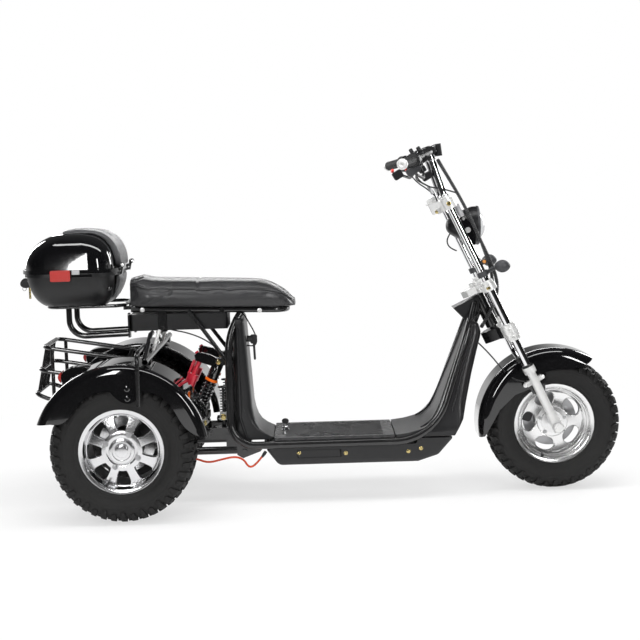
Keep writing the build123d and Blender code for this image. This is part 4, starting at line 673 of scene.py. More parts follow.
# ---------------------------------------------------------------- rims
def add_spokes(rim, centre, out, count, r_in, r_out, face, back, power, share, finish_front, finish_side, start):
    """Spokes of a rim. Between r_in and r_out a window opens between neighbours: its half angle is
    share of half a pitch times (1 - |2u - 1|^power)^(1/power), and the spoke takes the rest. face and
    back give the spoke's front and rear along the axle by radius."""
    pitch = 2 * math.pi / count
    u = np.r_[0, (1 - np.cos(np.linspace(0, math.pi, 30))) / 2, 1]
    r = r_in + (r_out - r_in) * u
    r[0] -= 0.004
    r[-1] += 0.004
    opening = np.clip(1 - np.abs(2 * u - 1) ** power, 0,
        1) ** (1 / power) * pitch / 2 * (share[0] + (share[1] - share[0]) * u)
    half = pitch / 2 - opening
    half[[0, -1]] = pitch / 2
    round_off = 0.0028
    v = np.linspace(-1, 1, 15)
    for k in range(count):
        middle = start + k * pitch
        limit = np.maximum(half[:, None], 0.001)
        front_turn = middle + v[None] * limit
        edge = np.clip((1 - np.abs(v[None])) * limit * r[:, None] / round_off, 0, 1)
        drop = round_off * (1 - np.sqrt(np.clip(1 - (1 - edge) ** 2, 0, 1)))
        front = face(r)[:, None] - drop
        rear_v = v[::-1][[0, 4, 7, 10, 14]]
        rear_turn = middle + rear_v[None] * limit
        rear = np.broadcast_to(back(r)[:, None], rear_turn.shape)
        turn = np.hstack([front_turn, rear_turn])
        along = np.hstack([front, rear])
        points = round_axle(turn, r[:, None], out * along) + centre
        rows, cols = points.shape[:2]
        quads = grid_quads(rows, cols, False, True).reshape(rows - 1, cols, 4)
        rim.add(points, [quads[:, :14].reshape(-1, 4)], finish_front)
        base = rim.count - points.size // 3
        side_quads = quads[:, 14:].reshape(-1, 4)
        caps = np.stack([np.arange(cols)[::-1], (rows - 1) * cols + np.arange(cols)])
        for block in (side_quads, caps):
            rim.faces += (block + base).tolist()
            rim.finish.append(np.full(len(block), finish_side))


VALVE = mm(0, 0, 4.2, 0, 4.2, 12, 3, 14, 3, 26, 3.8, 27, 3.8, 34, 0, 35)


def rear_rim(side, body, label, node_name):
    """Rear rim: eight flared spokes between a hub disc and a stepped lip, with a round cap and four nuts."""
    centre = rear_hub[side]
    way = Y * side
    rim = Batch()
    face = lambda r: 0.07 - 0.01 * np.clip((r - 0.06) / 0.06, 0, 1) ** 1.6
    back = lambda r: face(r) - 0.016
    add_spokes(
        rim, centre, side, count=8, r_in=0.063, r_out=0.1185, face=face, back=back, power=3.2, share=(0.5, 0.6),
        finish_front=0, finish_side=1, start=math.pi / 8,
    )
    # hub disc, turned with a shallow step
    rim.turned(mm(0, 50, 66, 50, 66.5, 69, 64, 70.2, 52, 70.6, 51, 70, 44, 70, 0, 70), centre, way, 96, 0)
    # lip, outer wall and barrel
    rim.turned(mm(116.5, 44, 116.5, 60, 119.5, 61.2, 121, 64, 122.5, 70, 124, 80, 126.5, 84.5, 130, 86.2, 136.5,
        87.8, 139.5, 88, 140.5, 86.8, 140.5, 83.8, 127, 83.2, 127, 44), centre, way, 128, 0, ring=True)
    rim.turned(mm(121.8, 45, 121.8, -88, 140, -88, 140.5, -87.2, 140.5, -83.2, 127, -82.8, 127, 45), centre,
        way, 96, 1, ring=True)
    # hub body behind the face
    rim.turned(mm(0, 52, 40, 52, 44, -57, 62, -57, 62, -50, 38, -46), centre, way, 48, 1)
    # cap: bevelled disc, shallow dish and a low dome
    t = np.linspace(0, math.pi / 2, 9)
    dome = np.stack([0.021 * np.cos(t), 0.0775 + 0.0028 * np.sin(t)], 1)
    bevel = mm(0, 66, 42.5, 66, 42.5, 73, 40.5, 76.2, 33, 78.8, 31.5, 78.6, 30, 76.8, 24, 76.8)
    rim.turned(np.vstack([bevel, dome]), centre, way, 72, 0)
    for k in range(4):
        turn = math.radians(25 + 90 * k)
        seat = centre + round_axle(turn, 0.0575, side * 0.07)
        rim.turned(mm(0, -1, 9.5, -1, 9.5, 1.2, 8.8, 1.8, 0, 1.8), seat, way, 24, 2)
        rim.bolt(seat + way * 0.0015, way, 0.0125, 0.0055, False, 2)
        rim.turned(mm(0, 0, 3.6, 0, 3.6, 10, 3, 10.6, 0, 10.6), seat, way, 14, 2)
    # tyre valve
    rim.turned(VALVE, centre + round_axle(math.radians(205), 0.1205, side * 0.058), way, 14, 3)
    rim.piece(label, [machined[side], rim_black, zinc, cable_black], body, "rim_machined", [node_name], crease=32)


rear_rim(RIGHT, "rear_wheel_right", "rear_right_rim", "rim_rear_right")
rear_rim(LEFT, "rear_wheel_left", "rear_left_rim", "rim_rear_left")


def front_rim():
    """Front rim: five wide spokes set deep inside a stepped bright lip, with rounded windows."""
    centre = front_hub
    rim = Batch()
    face = lambda r: 0.0215 - 0.004 * np.sin(np.clip((r - 0.045) / 0.07, 0, 1) * math.pi)
    back = lambda r: face(r) - 0.016
    add_spokes(
        rim, centre, RIGHT, count=5, r_in=0.057, r_out=0.1065, face=face, back=back, power=2.1, share=(0.6, 0.66),
        finish_front=0, finish_side=0, start=math.radians(18.6),
    )
    way = -Y
    rim.turned(mm(0, 4, 54, 4, 54.5, 20, 52, 22.2, 40, 23, 38.5, 27, 0, 27), centre, way, 72, 0)
    rim.turned(mm(106, 4, 106, 19, 108.5, 22.5, 111, 27, 112.5, 34, 116, 36.2, 117.2, 40, 118, 47, 121.5, 49.2,
        122.8, 53, 124, 59, 127.5, 62.8, 133, 64.8, 139, 66, 140.5, 65, 140.5, 61.2, 127, 60.8, 127, 4), centre,
        way, 128, 0, ring=True)
    rim.turned(mm(121.8, 6, 121.8, -60, 133, -64.8, 139, -66, 140.5, -65, 140.5, -61.2, 127, -60.8, 127, 6),
        centre, way, 96, 0, ring=True)
    rim.turned(mm(0, 10, 40, 10, 40, -30, 60, -30, 60, -37.7, 0, -37.7), centre, way, 48, 0)
    for k in range(5):
        rim.bolt(centre + round_axle(2 * math.pi * k / 5, 0.045, -0.0232), way, 0.008, 0.004, True, 1, "socket")
    rim.turned(VALVE, centre + round_axle(math.radians(200), 0.1195, -0.03), way, 14, 2)
    rim.piece("front_rim", [polished, zinc, cable_black], "front_wheel", "rim_polished", ["rim_front"], crease=32)


front_rim()


# ---------------------------------------------------------------- upholstery
def inflated(obj, limit, pinned):
    """Cloth filled with air: pressure, no gravity, the pinned points held, and every point kept within
    limit of where it began."""
    before = read_points(obj.data.vertices)
    held = obj.vertex_groups.new(name="held")
    held.add(np.flatnonzero(pinned).tolist(), 1.0, "REPLACE")
    cloth = obj.modifiers.new("Cloth", "CLOTH")
    cloth.settings.vertex_group_mass = "held"
    cloth.settings.use_pressure = True
    cloth.settings.uniform_pressure_force = 4.0
    cloth.settings.effector_weights.gravity = 0
    cloth.settings.quality = 4
    cloth.collision_settings.use_collision = False
    cloth.point_cache.frame_end = 20
    for moment in range(1, 21):
        scene.frame_set(moment)
    after = read_points(obj.evaluated_get(bpy.context.evaluated_depsgraph_get()).data.vertices)
    obj.modifiers.remove(cloth)
    obj.vertex_groups.remove(held)
    move = after - before
    size = np.linalg.norm(move, axis=1)[:, None]
    move *= np.minimum(1, limit / np.maximum(size, 1e-9))
    obj.data.vertices.foreach_set("co", (before + move).ravel())
    obj.data.update()
    scene.frame_set(1)


def subdivided(obj):
    """Smooths a padded piece once over."""
    subdivide = obj.modifiers.new("Finish", "SUBSURF")
    subdivide.levels = subdivide.render_levels = 1


def seat_lines(x):
    """Underside, crown and half width of the seat at each x."""
    low = np.interp(x, [-0.645, -0.1], [0.6913, 0.673])
    crown = np.interp(x, *mm(
        -644, 776, -640, 792, -632, 795.5, -618, 790, -590, 779, -560, 774, -500, 771.5, -409, 768, -340, 766,
        -270, 763,
        -220, 760.5, -182, 756, -150, 748, -120, 735, -98, 718, -83, 701, -77.5, 692,
    ).T)
    half = np.interp(x, *mm(
        -644, 100, -640, 108, -630, 120, -600, 136, -560, 140, -420, 140, -340, 134, -250, 118, -180, 105, -130, 90,
        -100, 70, -85, 48, -77.5, 26,
    ).T)
    return low, crown, half


def build_seat():
    """Long seat. Each section across it is a closed loop: flat underside, a side panel that swells
    outwards, a pinched seam, and a crowned top panel. Seam grooves are pressed in after the padding
    is inflated."""
    rows = 150
    seam = 0.72  # its height as a share of the section's
    x = np.linspace(-0.644, -0.0775, rows)
    low, crown, half = seat_lines(x)
    kernel = np.ones(7) / 7
    smooth = lambda a: np.convolve(np.r_[[a[0]] * 3, a, [a[-1]] * 3], kernel, "valid")
    crown, half = smooth(crown), smooth(half)
    n_side, n_top, n_low = 16, 34, 16
    t = np.linspace(0, 1, n_side, endpoint=False)
    side_y = 0.9 + 0.085 * np.sin(t * math.pi * 0.93 + 0.2) ** 0.8
    side_z = 0.02 + (seam - 0.02) * t
    s = np.linspace(-1, 1, n_top)
    top_y = -s * 0.955
    top_z = seam + (1 - seam) * (1 - np.abs(s) ** 2.6) ** 0.62
    b = np.linspace(-1, 1, n_low + 2)[1:-1]
    loop_y = np.r_[side_y, top_y, -side_y[::-1], b * 0.88]
    loop_z = np.r_[side_z, top_z, side_z[::-1], b * 0]
    points = np.stack([
        np.broadcast_to(x[:, None], (rows, len(loop_y))),
        half[:, None] * loop_y[None],
        low[:, None] + (crown - low)[:, None] * loop_z[None],
    ], -1)
    obj = Batch().skin(points).piece("seat", [vinyl], "frame", "seat_vinyl", ["seat_cushion"], crease=70)
    co = read_points(obj.data.vertices)
    inflated(obj, 0.007, co[:, 2] < np.interp(co[:, 0], x, low) + 0.004)
    co = read_points(obj.data.vertices)
    lo, hi, wide = (np.interp(co[:, 0], x, a) for a in (low, crown, half))
    seam_z = lo + (seam + 0.005) * (hi - lo)
    on_side = np.abs(co[:, 1]) > wide * 0.8
    groove = bell(co[:, 2], seam_z, 0.0032) * on_side * 0.0045
    cross = bell(co[:, 0], -0.412, 0.0032) * (co[:, 2] > seam_z - 0.002) * 0.0035
    welt = bell(co[:, 2], seam_z + 0.0085, 0.003) * on_side * 0.0016
    co += np.stack([0 * cross, -np.sign(co[:, 1]) * (groove - welt), -cross], 1)
    obj.data.vertices.foreach_set("co", co.ravel())
    obj.data.update()
    # welt cord along the seam and a row of stitches over it, on the finished surface
    final = co.reshape(rows, -1, 3)
    trim = Batch()
    for edge, nearer in ((n_side, n_side + 2), (n_side + n_top - 1, n_side + n_top - 3)):
        out = Y * np.sign(final[20, edge, 1])
        trim.pipe(final[2:-3, edge] + out * 0.0006 + Z * 0.0006, 0.0021, 8, 0)
        above = final[:, nearer] * 0.75 + final[:, edge] * 0.25
        for i in range(4, rows - 6, 2):
            step = above[i + 1] - above[i]
            trim.pipe(np.stack([above[i], above[i] + step * 0.5 + Z * 0.0007 + out * 0.0005,
                above[i] + step * 1.15]), 0.0008, 5, 1)
    trim.piece("seat_welt", [vinyl, thread], "frame", "seat_vinyl", crease=60)
    subdivided(obj)


build_seat()



# ---------------------------------------------------------------- covers of the frame
def build_covers():
    """Post and column covers: rounded rectangles stacked up the height, joined to the floor by a sweep."""
    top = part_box("post_cover")[1][2]
    post = Batch()
    rows = mm(
        219, -166, 227, -166, 231, -176, 240, -193, 255, -211, 275, -223, 300, -231, 330, -236.5, 420, -242,
        520, -248.5, 1000 * top - 20, -255,
    )
    levels = [(z, -0.2962, front, 0.1215, 0.004 + 0.026 * min(1, max(0, (z - 0.225) / 0.09))) for z, front in rows]
    levels += [
        (top - 0.012, -0.2962, -0.256, 0.1215, 0.03), (top - 0.004, -0.295, -0.259, 0.119, 0.028),
        (top, -0.292, -0.266, 0.112, 0.022),
    ]
    post.stack(levels)
    # raised rib down each side
    for side in (RIGHT, LEFT):
        spine = [(x, side * 0.1205, z) for x, z in ((-0.279, top - 0.03), (-0.279, 0.3), (-0.26, 0.232))]
        post.pipe(bent(spine, [0.1]), 0.0055, 10)
    post.piece("post_shroud", [cover_plastic], "frame", "cover_plastic", ["post_cover"], crease=40)

    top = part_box("column_cover")[1][2]
    flank = [0.243, 0.579], [0.1485, 0.0745]
    rear = mm(
        218.8, 253.2, 228, 253.2, 233, 295, 243, 338, 258, 368, 280, 390, 307, 405, 443, 460, 568, 509,
        1000 * top - 6, 519,
    ).T
    front = mm(218.8, 458, 270, 488, 422, 524, 560, 563, 580, 558.5, 1000 * top - 6, 554.5).T
    z = np.r_[0.2188, 0.228, 0.23, 0.233, 0.238, 0.245, 0.256, np.linspace(0.272, 0.565, 22), 0.575, 0.584,
        top - 0.006]
    rear_x, front_x = np.interp(z, *rear), np.interp(z, *front)
    half = np.interp(z, *flank)
    corner = np.interp(z, [0.2188, 0.245, 0.33], [0.005, 0.008, 0.03])
    corner = np.minimum(corner, (front_x - rear_x) / 2 - 0.002)
    levels = list(zip(z, rear_x, front_x, half, corner))
    for down, inset, r in ((0.002, 0.002, 0.013), (0, 0.006, 0.009)):
        levels.append((top - down, rear_x[-1] + inset, front_x[-1] - inset, half[-1] - inset, r))
    column = Batch()
    column.stack(levels)
    for side in (RIGHT, LEFT):
        z = np.array([0.565, 0.48, 0.4, 0.32, 0.27, 0.245])
        line = np.interp(z, *rear) - 0.0002, side * (np.interp(z, *flank) - 0.028), z
        column.pipe(curve_through(np.stack(line, 1), 40), 0.0042, 10)
        z = np.array([0.56, 0.47, 0.38, 0.3])
        line = (np.interp(z, *rear) + np.interp(z, *front)) / 2, side * (np.interp(z, *flank) - 0.0005), z
        column.pipe(curve_through(np.stack(line, 1), 30), 0.0038, 10)
    column.piece("column_shroud", [cover_plastic], "frame", "cover_plastic", ["column_cover"], crease=40)

    # raised tread ribs over the floor
    ribs = Batch()
    for y in np.linspace(-0.115, 0.115, 12):
        ribs.block((0.0435, y, 0.2288), (0.34, 0.0075, 0.0024), corner=0.003, edge=0.0008)
    ribs.piece("floor_ribs", [lid_plastic], "floor_lid", "cover_plastic", crease=50)

    # lock barrel on the floor with its key standing in it
    low, high = (np.array(corner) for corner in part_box("bay_lock"))
    foot = np.array([(low[0] + high[0]) / 2, 0, low[2]])
    lock = Batch()
    lock.turned(mm(0, 0, 13.8, 0, 13.8, 2.5, 11.8, 4, 10.5, 12.5, 9, 14, 0, 14), foot, Z, 40, 0)
    lock.block(foot + (0, 0, 0.0175), (0.0065, 0.0024, 0.01), corner=0.0006, edge=0.0005, finish=1)
    t = np.arange(24) * 2 * math.pi / 24
    bow = np.stack([0.0125 * np.cos(t), 0.0095 * np.sin(t)], 1)
    lock.plate(bow, foot + (0, 0.0035, 0.0318), X, Z, 0.007, 0.0015, 2)
    lock.piece("bay_key", [chrome, zinc, case_plastic], "floor_lid", "chrome", ["bay_lock"], crease=36)


build_covers()


# ---------------------------------------------------------------- top box pads, lock and reflector
def build_pad(label, node_name, body, middle):
    """Padded cover over the box: the seat of the pad remeshed, its rims rounded off, then filled with
    air while the side that lies on the shell is held."""
    mesh = nodes[node_name].data.copy()
    obj = placed(label, mesh)
    merged(mesh, 1e-5, outward=False)
    remesh = obj.modifiers.new("Remesh", "REMESH")
    remesh.mode = "VOXEL"
    remesh.voxel_size = 0.004
    soften = obj.modifiers.new("Soften", "SMOOTH")
    soften.factor = 0.5
    soften.iterations = 14
    shaped = bpy.data.meshes.new_from_object(obj.evaluated_get(bpy.context.evaluated_depsgraph_get()))
    obj.modifiers.clear()
    obj.data = shaped
    bpy.data.meshes.remove(mesh)
    shaped.name = label
    shaped.materials.clear()
    shaped.materials.append(pad_vinyl)
    co, way = read_points(shaped.vertices), read_points(shaped.vertices, "normal")
    inward = np.asarray(middle) - co
    inward[:, 1] = 0
    inward /= np.linalg.norm(inward, axis=1)[:, None]
    settle(obj, body, [node_name])
    inflated(obj, 0.005, (way * inward).sum(1) > 0.35)
    shaped.polygons.foreach_set("use_smooth", np.ones(len(shaped.polygons), bool))
    subdivided(obj)


build_pad("lid_pad", "box_pad", "trunk_lid", (-0.833, 0, 0.8))
build_pad("base_pad", "box_pad_low", "frame", (-0.833, 0, 0.78))


def build_box_fittings():
    """Lock barrel, key with its bow, and the latch plate behind the top box."""
    lock = Batch()
    seat = np.array([-0.9835, 0, 0.783])
    lock.turned(mm(0, 0, 10.5, 0, 12.5, -4, 12.5, 10, 10.5, 12, 10, 22, 8.5, 24.5, 0, 24.5), seat, -X, 36, 0)
    bow = np.array([-1.0165, 0, 0.7745])
    t = np.arange(28) * 2 * math.pi / 28
    outline = np.stack([0.0195 * np.cos(t) * (1 - 0.18 * np.sin(t)), 0.0175 * np.sin(t)], 1)
    lock.plate(outline, bow + (0, 0.0035, 0), X, Z, 0.0075, 0.0015, 1)
    lock.turned(mm(5.5, -1.2, 7.5, -1.2, 7.5, 1.2, 5.5, 1.2), bow + (-0.006, 0, -0.02), Y, 24, 2, ring=True)
    lock.block((-1.004, 0, 0.741), (0.0075, 0.0022, 0.044), corner=0.0008, edge=0.0006, finish=3)
    lock.piece("box_key", [chrome, case_plastic, zinc, brass], "frame", "chrome", ["box_lock"], crease=35)


build_box_fittings()


# ---------------------------------------------------------------- handlebar and its fittings
RIB_PITCH = 0.0092
bar_top = np.array([0.3934, 0, 1.1869])
bar_end = {side: np.array([0.284, side * 0.366, 1.147]) for side in (RIGHT, LEFT)}
bar_grip = {side: np.array([0.328, side * 0.235, 1.16]) for side in (RIGHT, LEFT)}


def steer_point(x, y, z):
    """A point given along the fork from the front axle, as a point of the vehicle."""
    return front_hub + fork_x * x + Y * y + fork_z * z


def build_bar():
    """Handlebar with its risers, the grips with their end caps, and the controls beside them."""
    bar = Batch()
    line = [
        bar_end[RIGHT] + Y * 0.003, bar_grip[RIGHT], bar_top - Y * 0.11, bar_top + Y * 0.11, bar_grip[LEFT],
        bar_end[LEFT] - Y * 0.003,
    ]
    bar.pipe(bent(line, [0.07, 0.06, 0.06, 0.07]), 0.0111, 24, 0)
    for side in (RIGHT, LEFT):
        foot, crown = steer_point(0.003, side * 0.06, 0.8766), bar_top + Y * side * 0.06
        way, long = unit(crown - foot), np.linalg.norm(crown - foot)
        low_end = mm(0, 0, 19, 0, 19, 7, 17.5, 9, 13.5, 10, 13, 14)
        high_end = mm(13, -30, 16.5, -28, 16.5, -12, 0, -12) + (0, long)
        bar.turned(np.vstack([low_end, high_end]), foot, way, 40, 1)
        # two-part clamp with a seam along the bar and two screws
        bar.turned(mm(0, -16, 19.5, -16, 21, -14.5, 21, 14.5, 19.5, 16, 0, 16), crown, Y, 44, 2)
        for k in (-1, 1):
            lug = crown + fork_x * k * 0.0195
            bar.block(lug, (0.012, 0.03, 0.02), axes=(fork_x, Y, fork_z), corner=0.003, finish=2)
            for off in (-0.009, 0.009):
                bar.bolt(lug + Y * off + fork_z * 0.01, fork_z, 0.0065, 0.006, False, 3, "socket")
        bar.turned(mm(0, 0, 10.5, 0, 10.5, 6, 8.5, 8, 0, 8), steer_point(0.003, side * 0.06, 0.836), -fork_z, 6, 3)
    bar.piece("bar_and_risers", [case_plastic, chrome, case_plastic, zinc], "steering", "chrome", ["handlebar"],
        crease=35)

    grips = Batch()
    for side in (RIGHT, LEFT):
        start, end = bar_grip[side], bar_end[side]
        way, long = unit(end - start), np.linalg.norm(end - start)
        collar = mm(11.2, 8, 20.5, 8, 21.5, 9.5, 21.5, 12, 20.5, 13.5, 16, 15)
        along = np.linspace(0.018, long + 0.003, 120)
        rib = 0.0162 - 0.0009 * (np.cos(along * 2 * math.pi / RIB_PITCH) > 0.55) - 0.0006 * bell(along, 0.072, 0.004)
        rim = mm(16.5, 4, 15.5, 6, 11.2, 6) + (0, long)
        grips.turned(np.vstack([collar, np.stack([rib, along], 1), rim]), start, way, 44, 0, ring=True)
        # weighted end cap with a socket in its middle
        cap = mm(0, 4, 16.8, 4, 18, 6, 18, 12.5, 16.8, 14.5, 12, 15.5, 6, 15.8, 4.5, 15, 4.5, 9, 0, 9) + (0, long)
        grips.turned(cap, start, way, 44, 1)
    grips.piece("grip_sleeves", [grip_rubber, satin_alloy], "steering", "grip_rubber", ["grips"], crease=40)

    # switch blocks, buttons, master cylinders and the plugs under the bar
    controls = Batch()
    along = unit(np.array([0.047, 0, 0.028]))
    up = np.cross(along, Y)
    bar_axes = (along, up, Y)
    controls.block((0.329, -0.203, 1.127), (0.05, 0.027, 0.046), axes=bar_axes, corner=0.007, edge=0.003, finish=0)
    controls.block((0.324, -0.203, 1.143), (0.036, 0.02, 0.04), axes=bar_axes, corner=0.006, edge=0.003, finish=1)
    controls.turned(mm(0, 0, 6.2, 0, 6.2, 5, 5, 6.8, 0, 7.4), (0.305, -0.209, 1.133), (-0.86, -0.1, -0.5), 22, 2)
    controls.block((0.303, 0.203, 1.113), (0.036, 0.03, 0.042), axes=bar_axes, corner=0.006, edge=0.003, finish=1)
    controls.turned(mm(0, 0, 6.8, 0, 6.8, 6, 5.5, 8, 0, 8.8), (0.287, 0.202, 1.127), (-0.8, -0.3, 0.1), 22, 2)
    for side in (RIGHT, LEFT):
        seat = bar_grip[side] * 0.62 + bar_top * 0.38
        controls.block(seat + (0.006, 0, -0.004), (0.04, 0.036, 0.052), axes=bar_axes, corner=0.009, edge=0.003,
            finish=1)
        controls.block(seat + (0.01, 0, 0.018), (0.034, 0.012, 0.04), axes=bar_axes, corner=0.005, edge=0.002,
            finish=1)
        controls.turned(mm(0, 0, 7.2, 0, 7.2, 13, 5.5, 16, 0, 16.5), seat + (0.002, side * 0.02, 0.02), up, 20, 1)
        for off in (-0.014, 0.014):
            controls.bolt(seat + (0.012, off, 0.0235), up, 0.004, 0.002, False, 3, "dome")
    controls.block((0.385, -0.07, 1.106), (0.038, 0.025, 0.03), axes=bar_axes, corner=0.006, edge=0.003, finish=1)
    controls.block((0.372, -0.03, 1.129), (0.026, 0.022, 0.03), axes=bar_axes, corner=0.005, edge=0.003, finish=1)
    controls.turned(mm(0, 0, 5, 0, 5, 22, 6.5, 23, 6.5, 30, 0, 31), (0.404, -0.06, 1.044), fork_z, 16, 3)
    controls.turned(mm(0, 0, 6, 0, 6, 16, 0, 17), (0.418, -0.06, 1.052), fork_z, 6, 3)
    controls.piece("bar_controls", [dark_grey, case_plastic, red_button, zinc], "steering", "case_plastic", crease=38)


build_bar()


# ---------------------------------------------------------------- front end fittings
def build_front_fittings():
    """Fasteners and small parts of the fork, the headlight and the front fender."""
    kit = Batch()
    silver, gold, black, pale, amber = range(5)
    upright = (fork_x, Y, fork_z)
    for side in (RIGHT, LEFT):
        out = Y * side
        tube = side * 0.118
        # top yoke: pinch bolts, slit cover and the lug behind with its nut
        kit.bolt(steer_point(0.0, tube, 0.857) + out * 0.0238, out, 0.009, 0.005, True, gold, "socket")
        kit.turned(mm(0, 0, 16.5, 0, 16.5, 7, 14.5, 9, 9, 9, 8, 6, 0, 6), steer_point(0, tube, 0.8745), fork_z,
            36, silver)
        kit.block(steer_point(-0.03, side * 0.082, 0.846), (0.026, 0.018, 0.02), axes=upright, corner=0.004,
            edge=0.002, finish=silver)
        kit.bolt(steer_point(-0.043, side * 0.082, 0.846), -fork_x, 0.01, 0.006, True, gold)
        kit.bolt(steer_point(0.02, side * 0.1, 0.8455), fork_x, 0.008, 0.005, True, silver, "socket")
        # middle clamp: seam bolts and the nut at its rear
        kit.bolt(steer_point(-0.004, tube, 0.5395) + out * 0.0232, out, 0.01, 0.005, True, gold)
        kit.bolt(steer_point(-0.026, side * 0.098, 0.5395), -fork_x, 0.011, 0.008, True, silver)
        kit.turned(mm(13.8, 0, 21.5, 0, 21.5, 10, 19.5, 12, 13.8, 12), steer_point(0, tube, 0.5515), fork_z, 40,
            silver, ring=True)
        # lower boss: split ring with two pinch bolts
        for z in (0.3525, 0.379):
            kit.bolt(steer_point(-0.004, tube, z) + out * 0.0255, out, 0.008, 0.005, True, silver, "socket")
        kit.turned(mm(24.5, 0, 27.2, 0, 27.2, 6, 24.5, 6), steer_point(0, tube, 0.3635), fork_z, 48, silver,
            ring=True)
        # slider: knurled collar, dust lip and two fender bolts
        kit.turned(mm(13.8, 0, 19, 0, 17.5, 6, 13.8, 8), steer_point(0, tube, 0.2322), fork_z, 40, black, ring=True)
        for z in (0.211, 0.216, 0.221):
            kit.turned(mm(20.5, -1.6, 21.7, 0, 20.5, 1.6), steer_point(0, tube, z), fork_z, 48, silver, ring=True)
        for x, z in ((0.707, 0.379), (0.7655, 0.4075)):
            kit.turned(mm(0, 0, 7.8, 0, 7.8, 3, 0, 3), (x, side * 0.1095, z), out, 24, silver)
            kit.turned(mm(0, 0, 6.2, 2, 5.8, 6.2, 4, 7.2, 0, 7.4), (x, side * 0.1105, z), out, 24, silver)
        # axle clamp bolts at the foot of the leg
        for z in (-0.01, 0.012):
            kit.bolt(steer_point(0.0165, side * 0.118, z), fork_x, 0.007, 0.005, True, silver, "socket")
        kit.turned(mm(0, 0, 15, 0, 16.5, 1.5, 16.5, 4.2, 14, 6.2, 0, 6.5), front_hub + out * 0.1477, out, 36, silver)
        # sleeve ahead of the leg, with the headlight bracket's bolt and cap
        kit.turned(mm(0, 0, 9.5, 0, 10.5, 1, 10.5, 45, 9.5, 46, 0, 46), (0.4985, side * 0.096, 0.965), fork_z,
            30, pale)
        kit.turned(mm(0, 0, 9.5, 0, 9.5, 2.5, 8, 3.5, 0, 3.5), (0.52, side * 0.0905, 0.919), out, 30, silver)
        kit.bolt((0.52, side * 0.093, 0.919), out, 0.009, 0.005, False, silver, "socket")
        kit.bolt((0.505, side * 0.0905, 0.958), out, 0.006, 0.004, True, silver, "socket")
        # marker beside the indicator's stalk
        kit.block((0.566, side * 0.141, 0.813), (0.019, 0.016, 0.016), axes=upright, corner=0.004, edge=0.002,
            finish=black)
        kit.turned(mm(0, 0, 6.2, 0, 6.2, 3, 4.5, 4.5, 0, 5), (0.566, side * 0.149, 0.813), out, 20, amber)
    # stem nut and its washer on the top yoke
    kit.turned(mm(0, 0, 24, 0, 24, 3, 19, 4, 19, 5, 0, 5), steer_point(-0.038, 0, 0.876), fork_z, 40, silver)
    kit.turned(mm(0, 0, 18.5, 0, 18.5, 12, 16.5, 14, 0, 14), steer_point(-0.038, 0, 0.88), fork_z, 6, silver)
    kit.piece("front_fittings", [satin_alloy, brass, case_plastic, pale_plastic, amber_lens], "steering",
        "bare_aluminium", crease=36)

    # headlight carrier: a plate each side, hung from a sleeve under the top yoke
    plates = Batch()
    for side in (RIGHT, LEFT):
        outline = mm(483, 988, 511, 966, 550, 913, 545, 868, 537, 867, 478, 956)
        plates.plate(outline, (0, side * 0.0885 + 0.0022, 0), X, Z, 0.0044, 0.001, 0)
        plates.turned(mm(0, 0, 7.5, 0, 7.5, 6.5, 0, 6.5), (0.52, side * 0.08, 0.919), Y * side, 24, 1)
    plates.piece("lamp_carrier", [gloss_black, zinc], "steering", "frame_paint", ["headlight_bracket"], crease=36)

    # headlight: chrome bezel round the lens and a bright dish behind it
    lamp = Batch()
    middle = np.array([0.535, 0, 0.931])
    lamp.turned(mm(60, 24, 66.8, 23.5, 67.8, 26, 67.2, 30.5, 65, 32.5, 61.2, 32), middle, X, 72, 0, ring=True)
    t = np.linspace(0.05, 1, 12)
    dish = [(0.058 * u, 0.0292 - 0.001 * (1 - u**2)) for u in t]
    lamp.turned([(0, 0.027), (0.059, 0.027), (0.059, 0.0292)] + dish[::-1] + [(0, 0.0284)], middle, X, 60, 1)
    lamp.turned(mm(0, 28, 11, 28, 11, 36, 9, 40, 0, 42), middle, X, 30, 0)
    lamp.piece("headlight_bezel", [dark_grey, satin_alloy], "steering", "case_plastic", crease=40)


build_front_fittings()


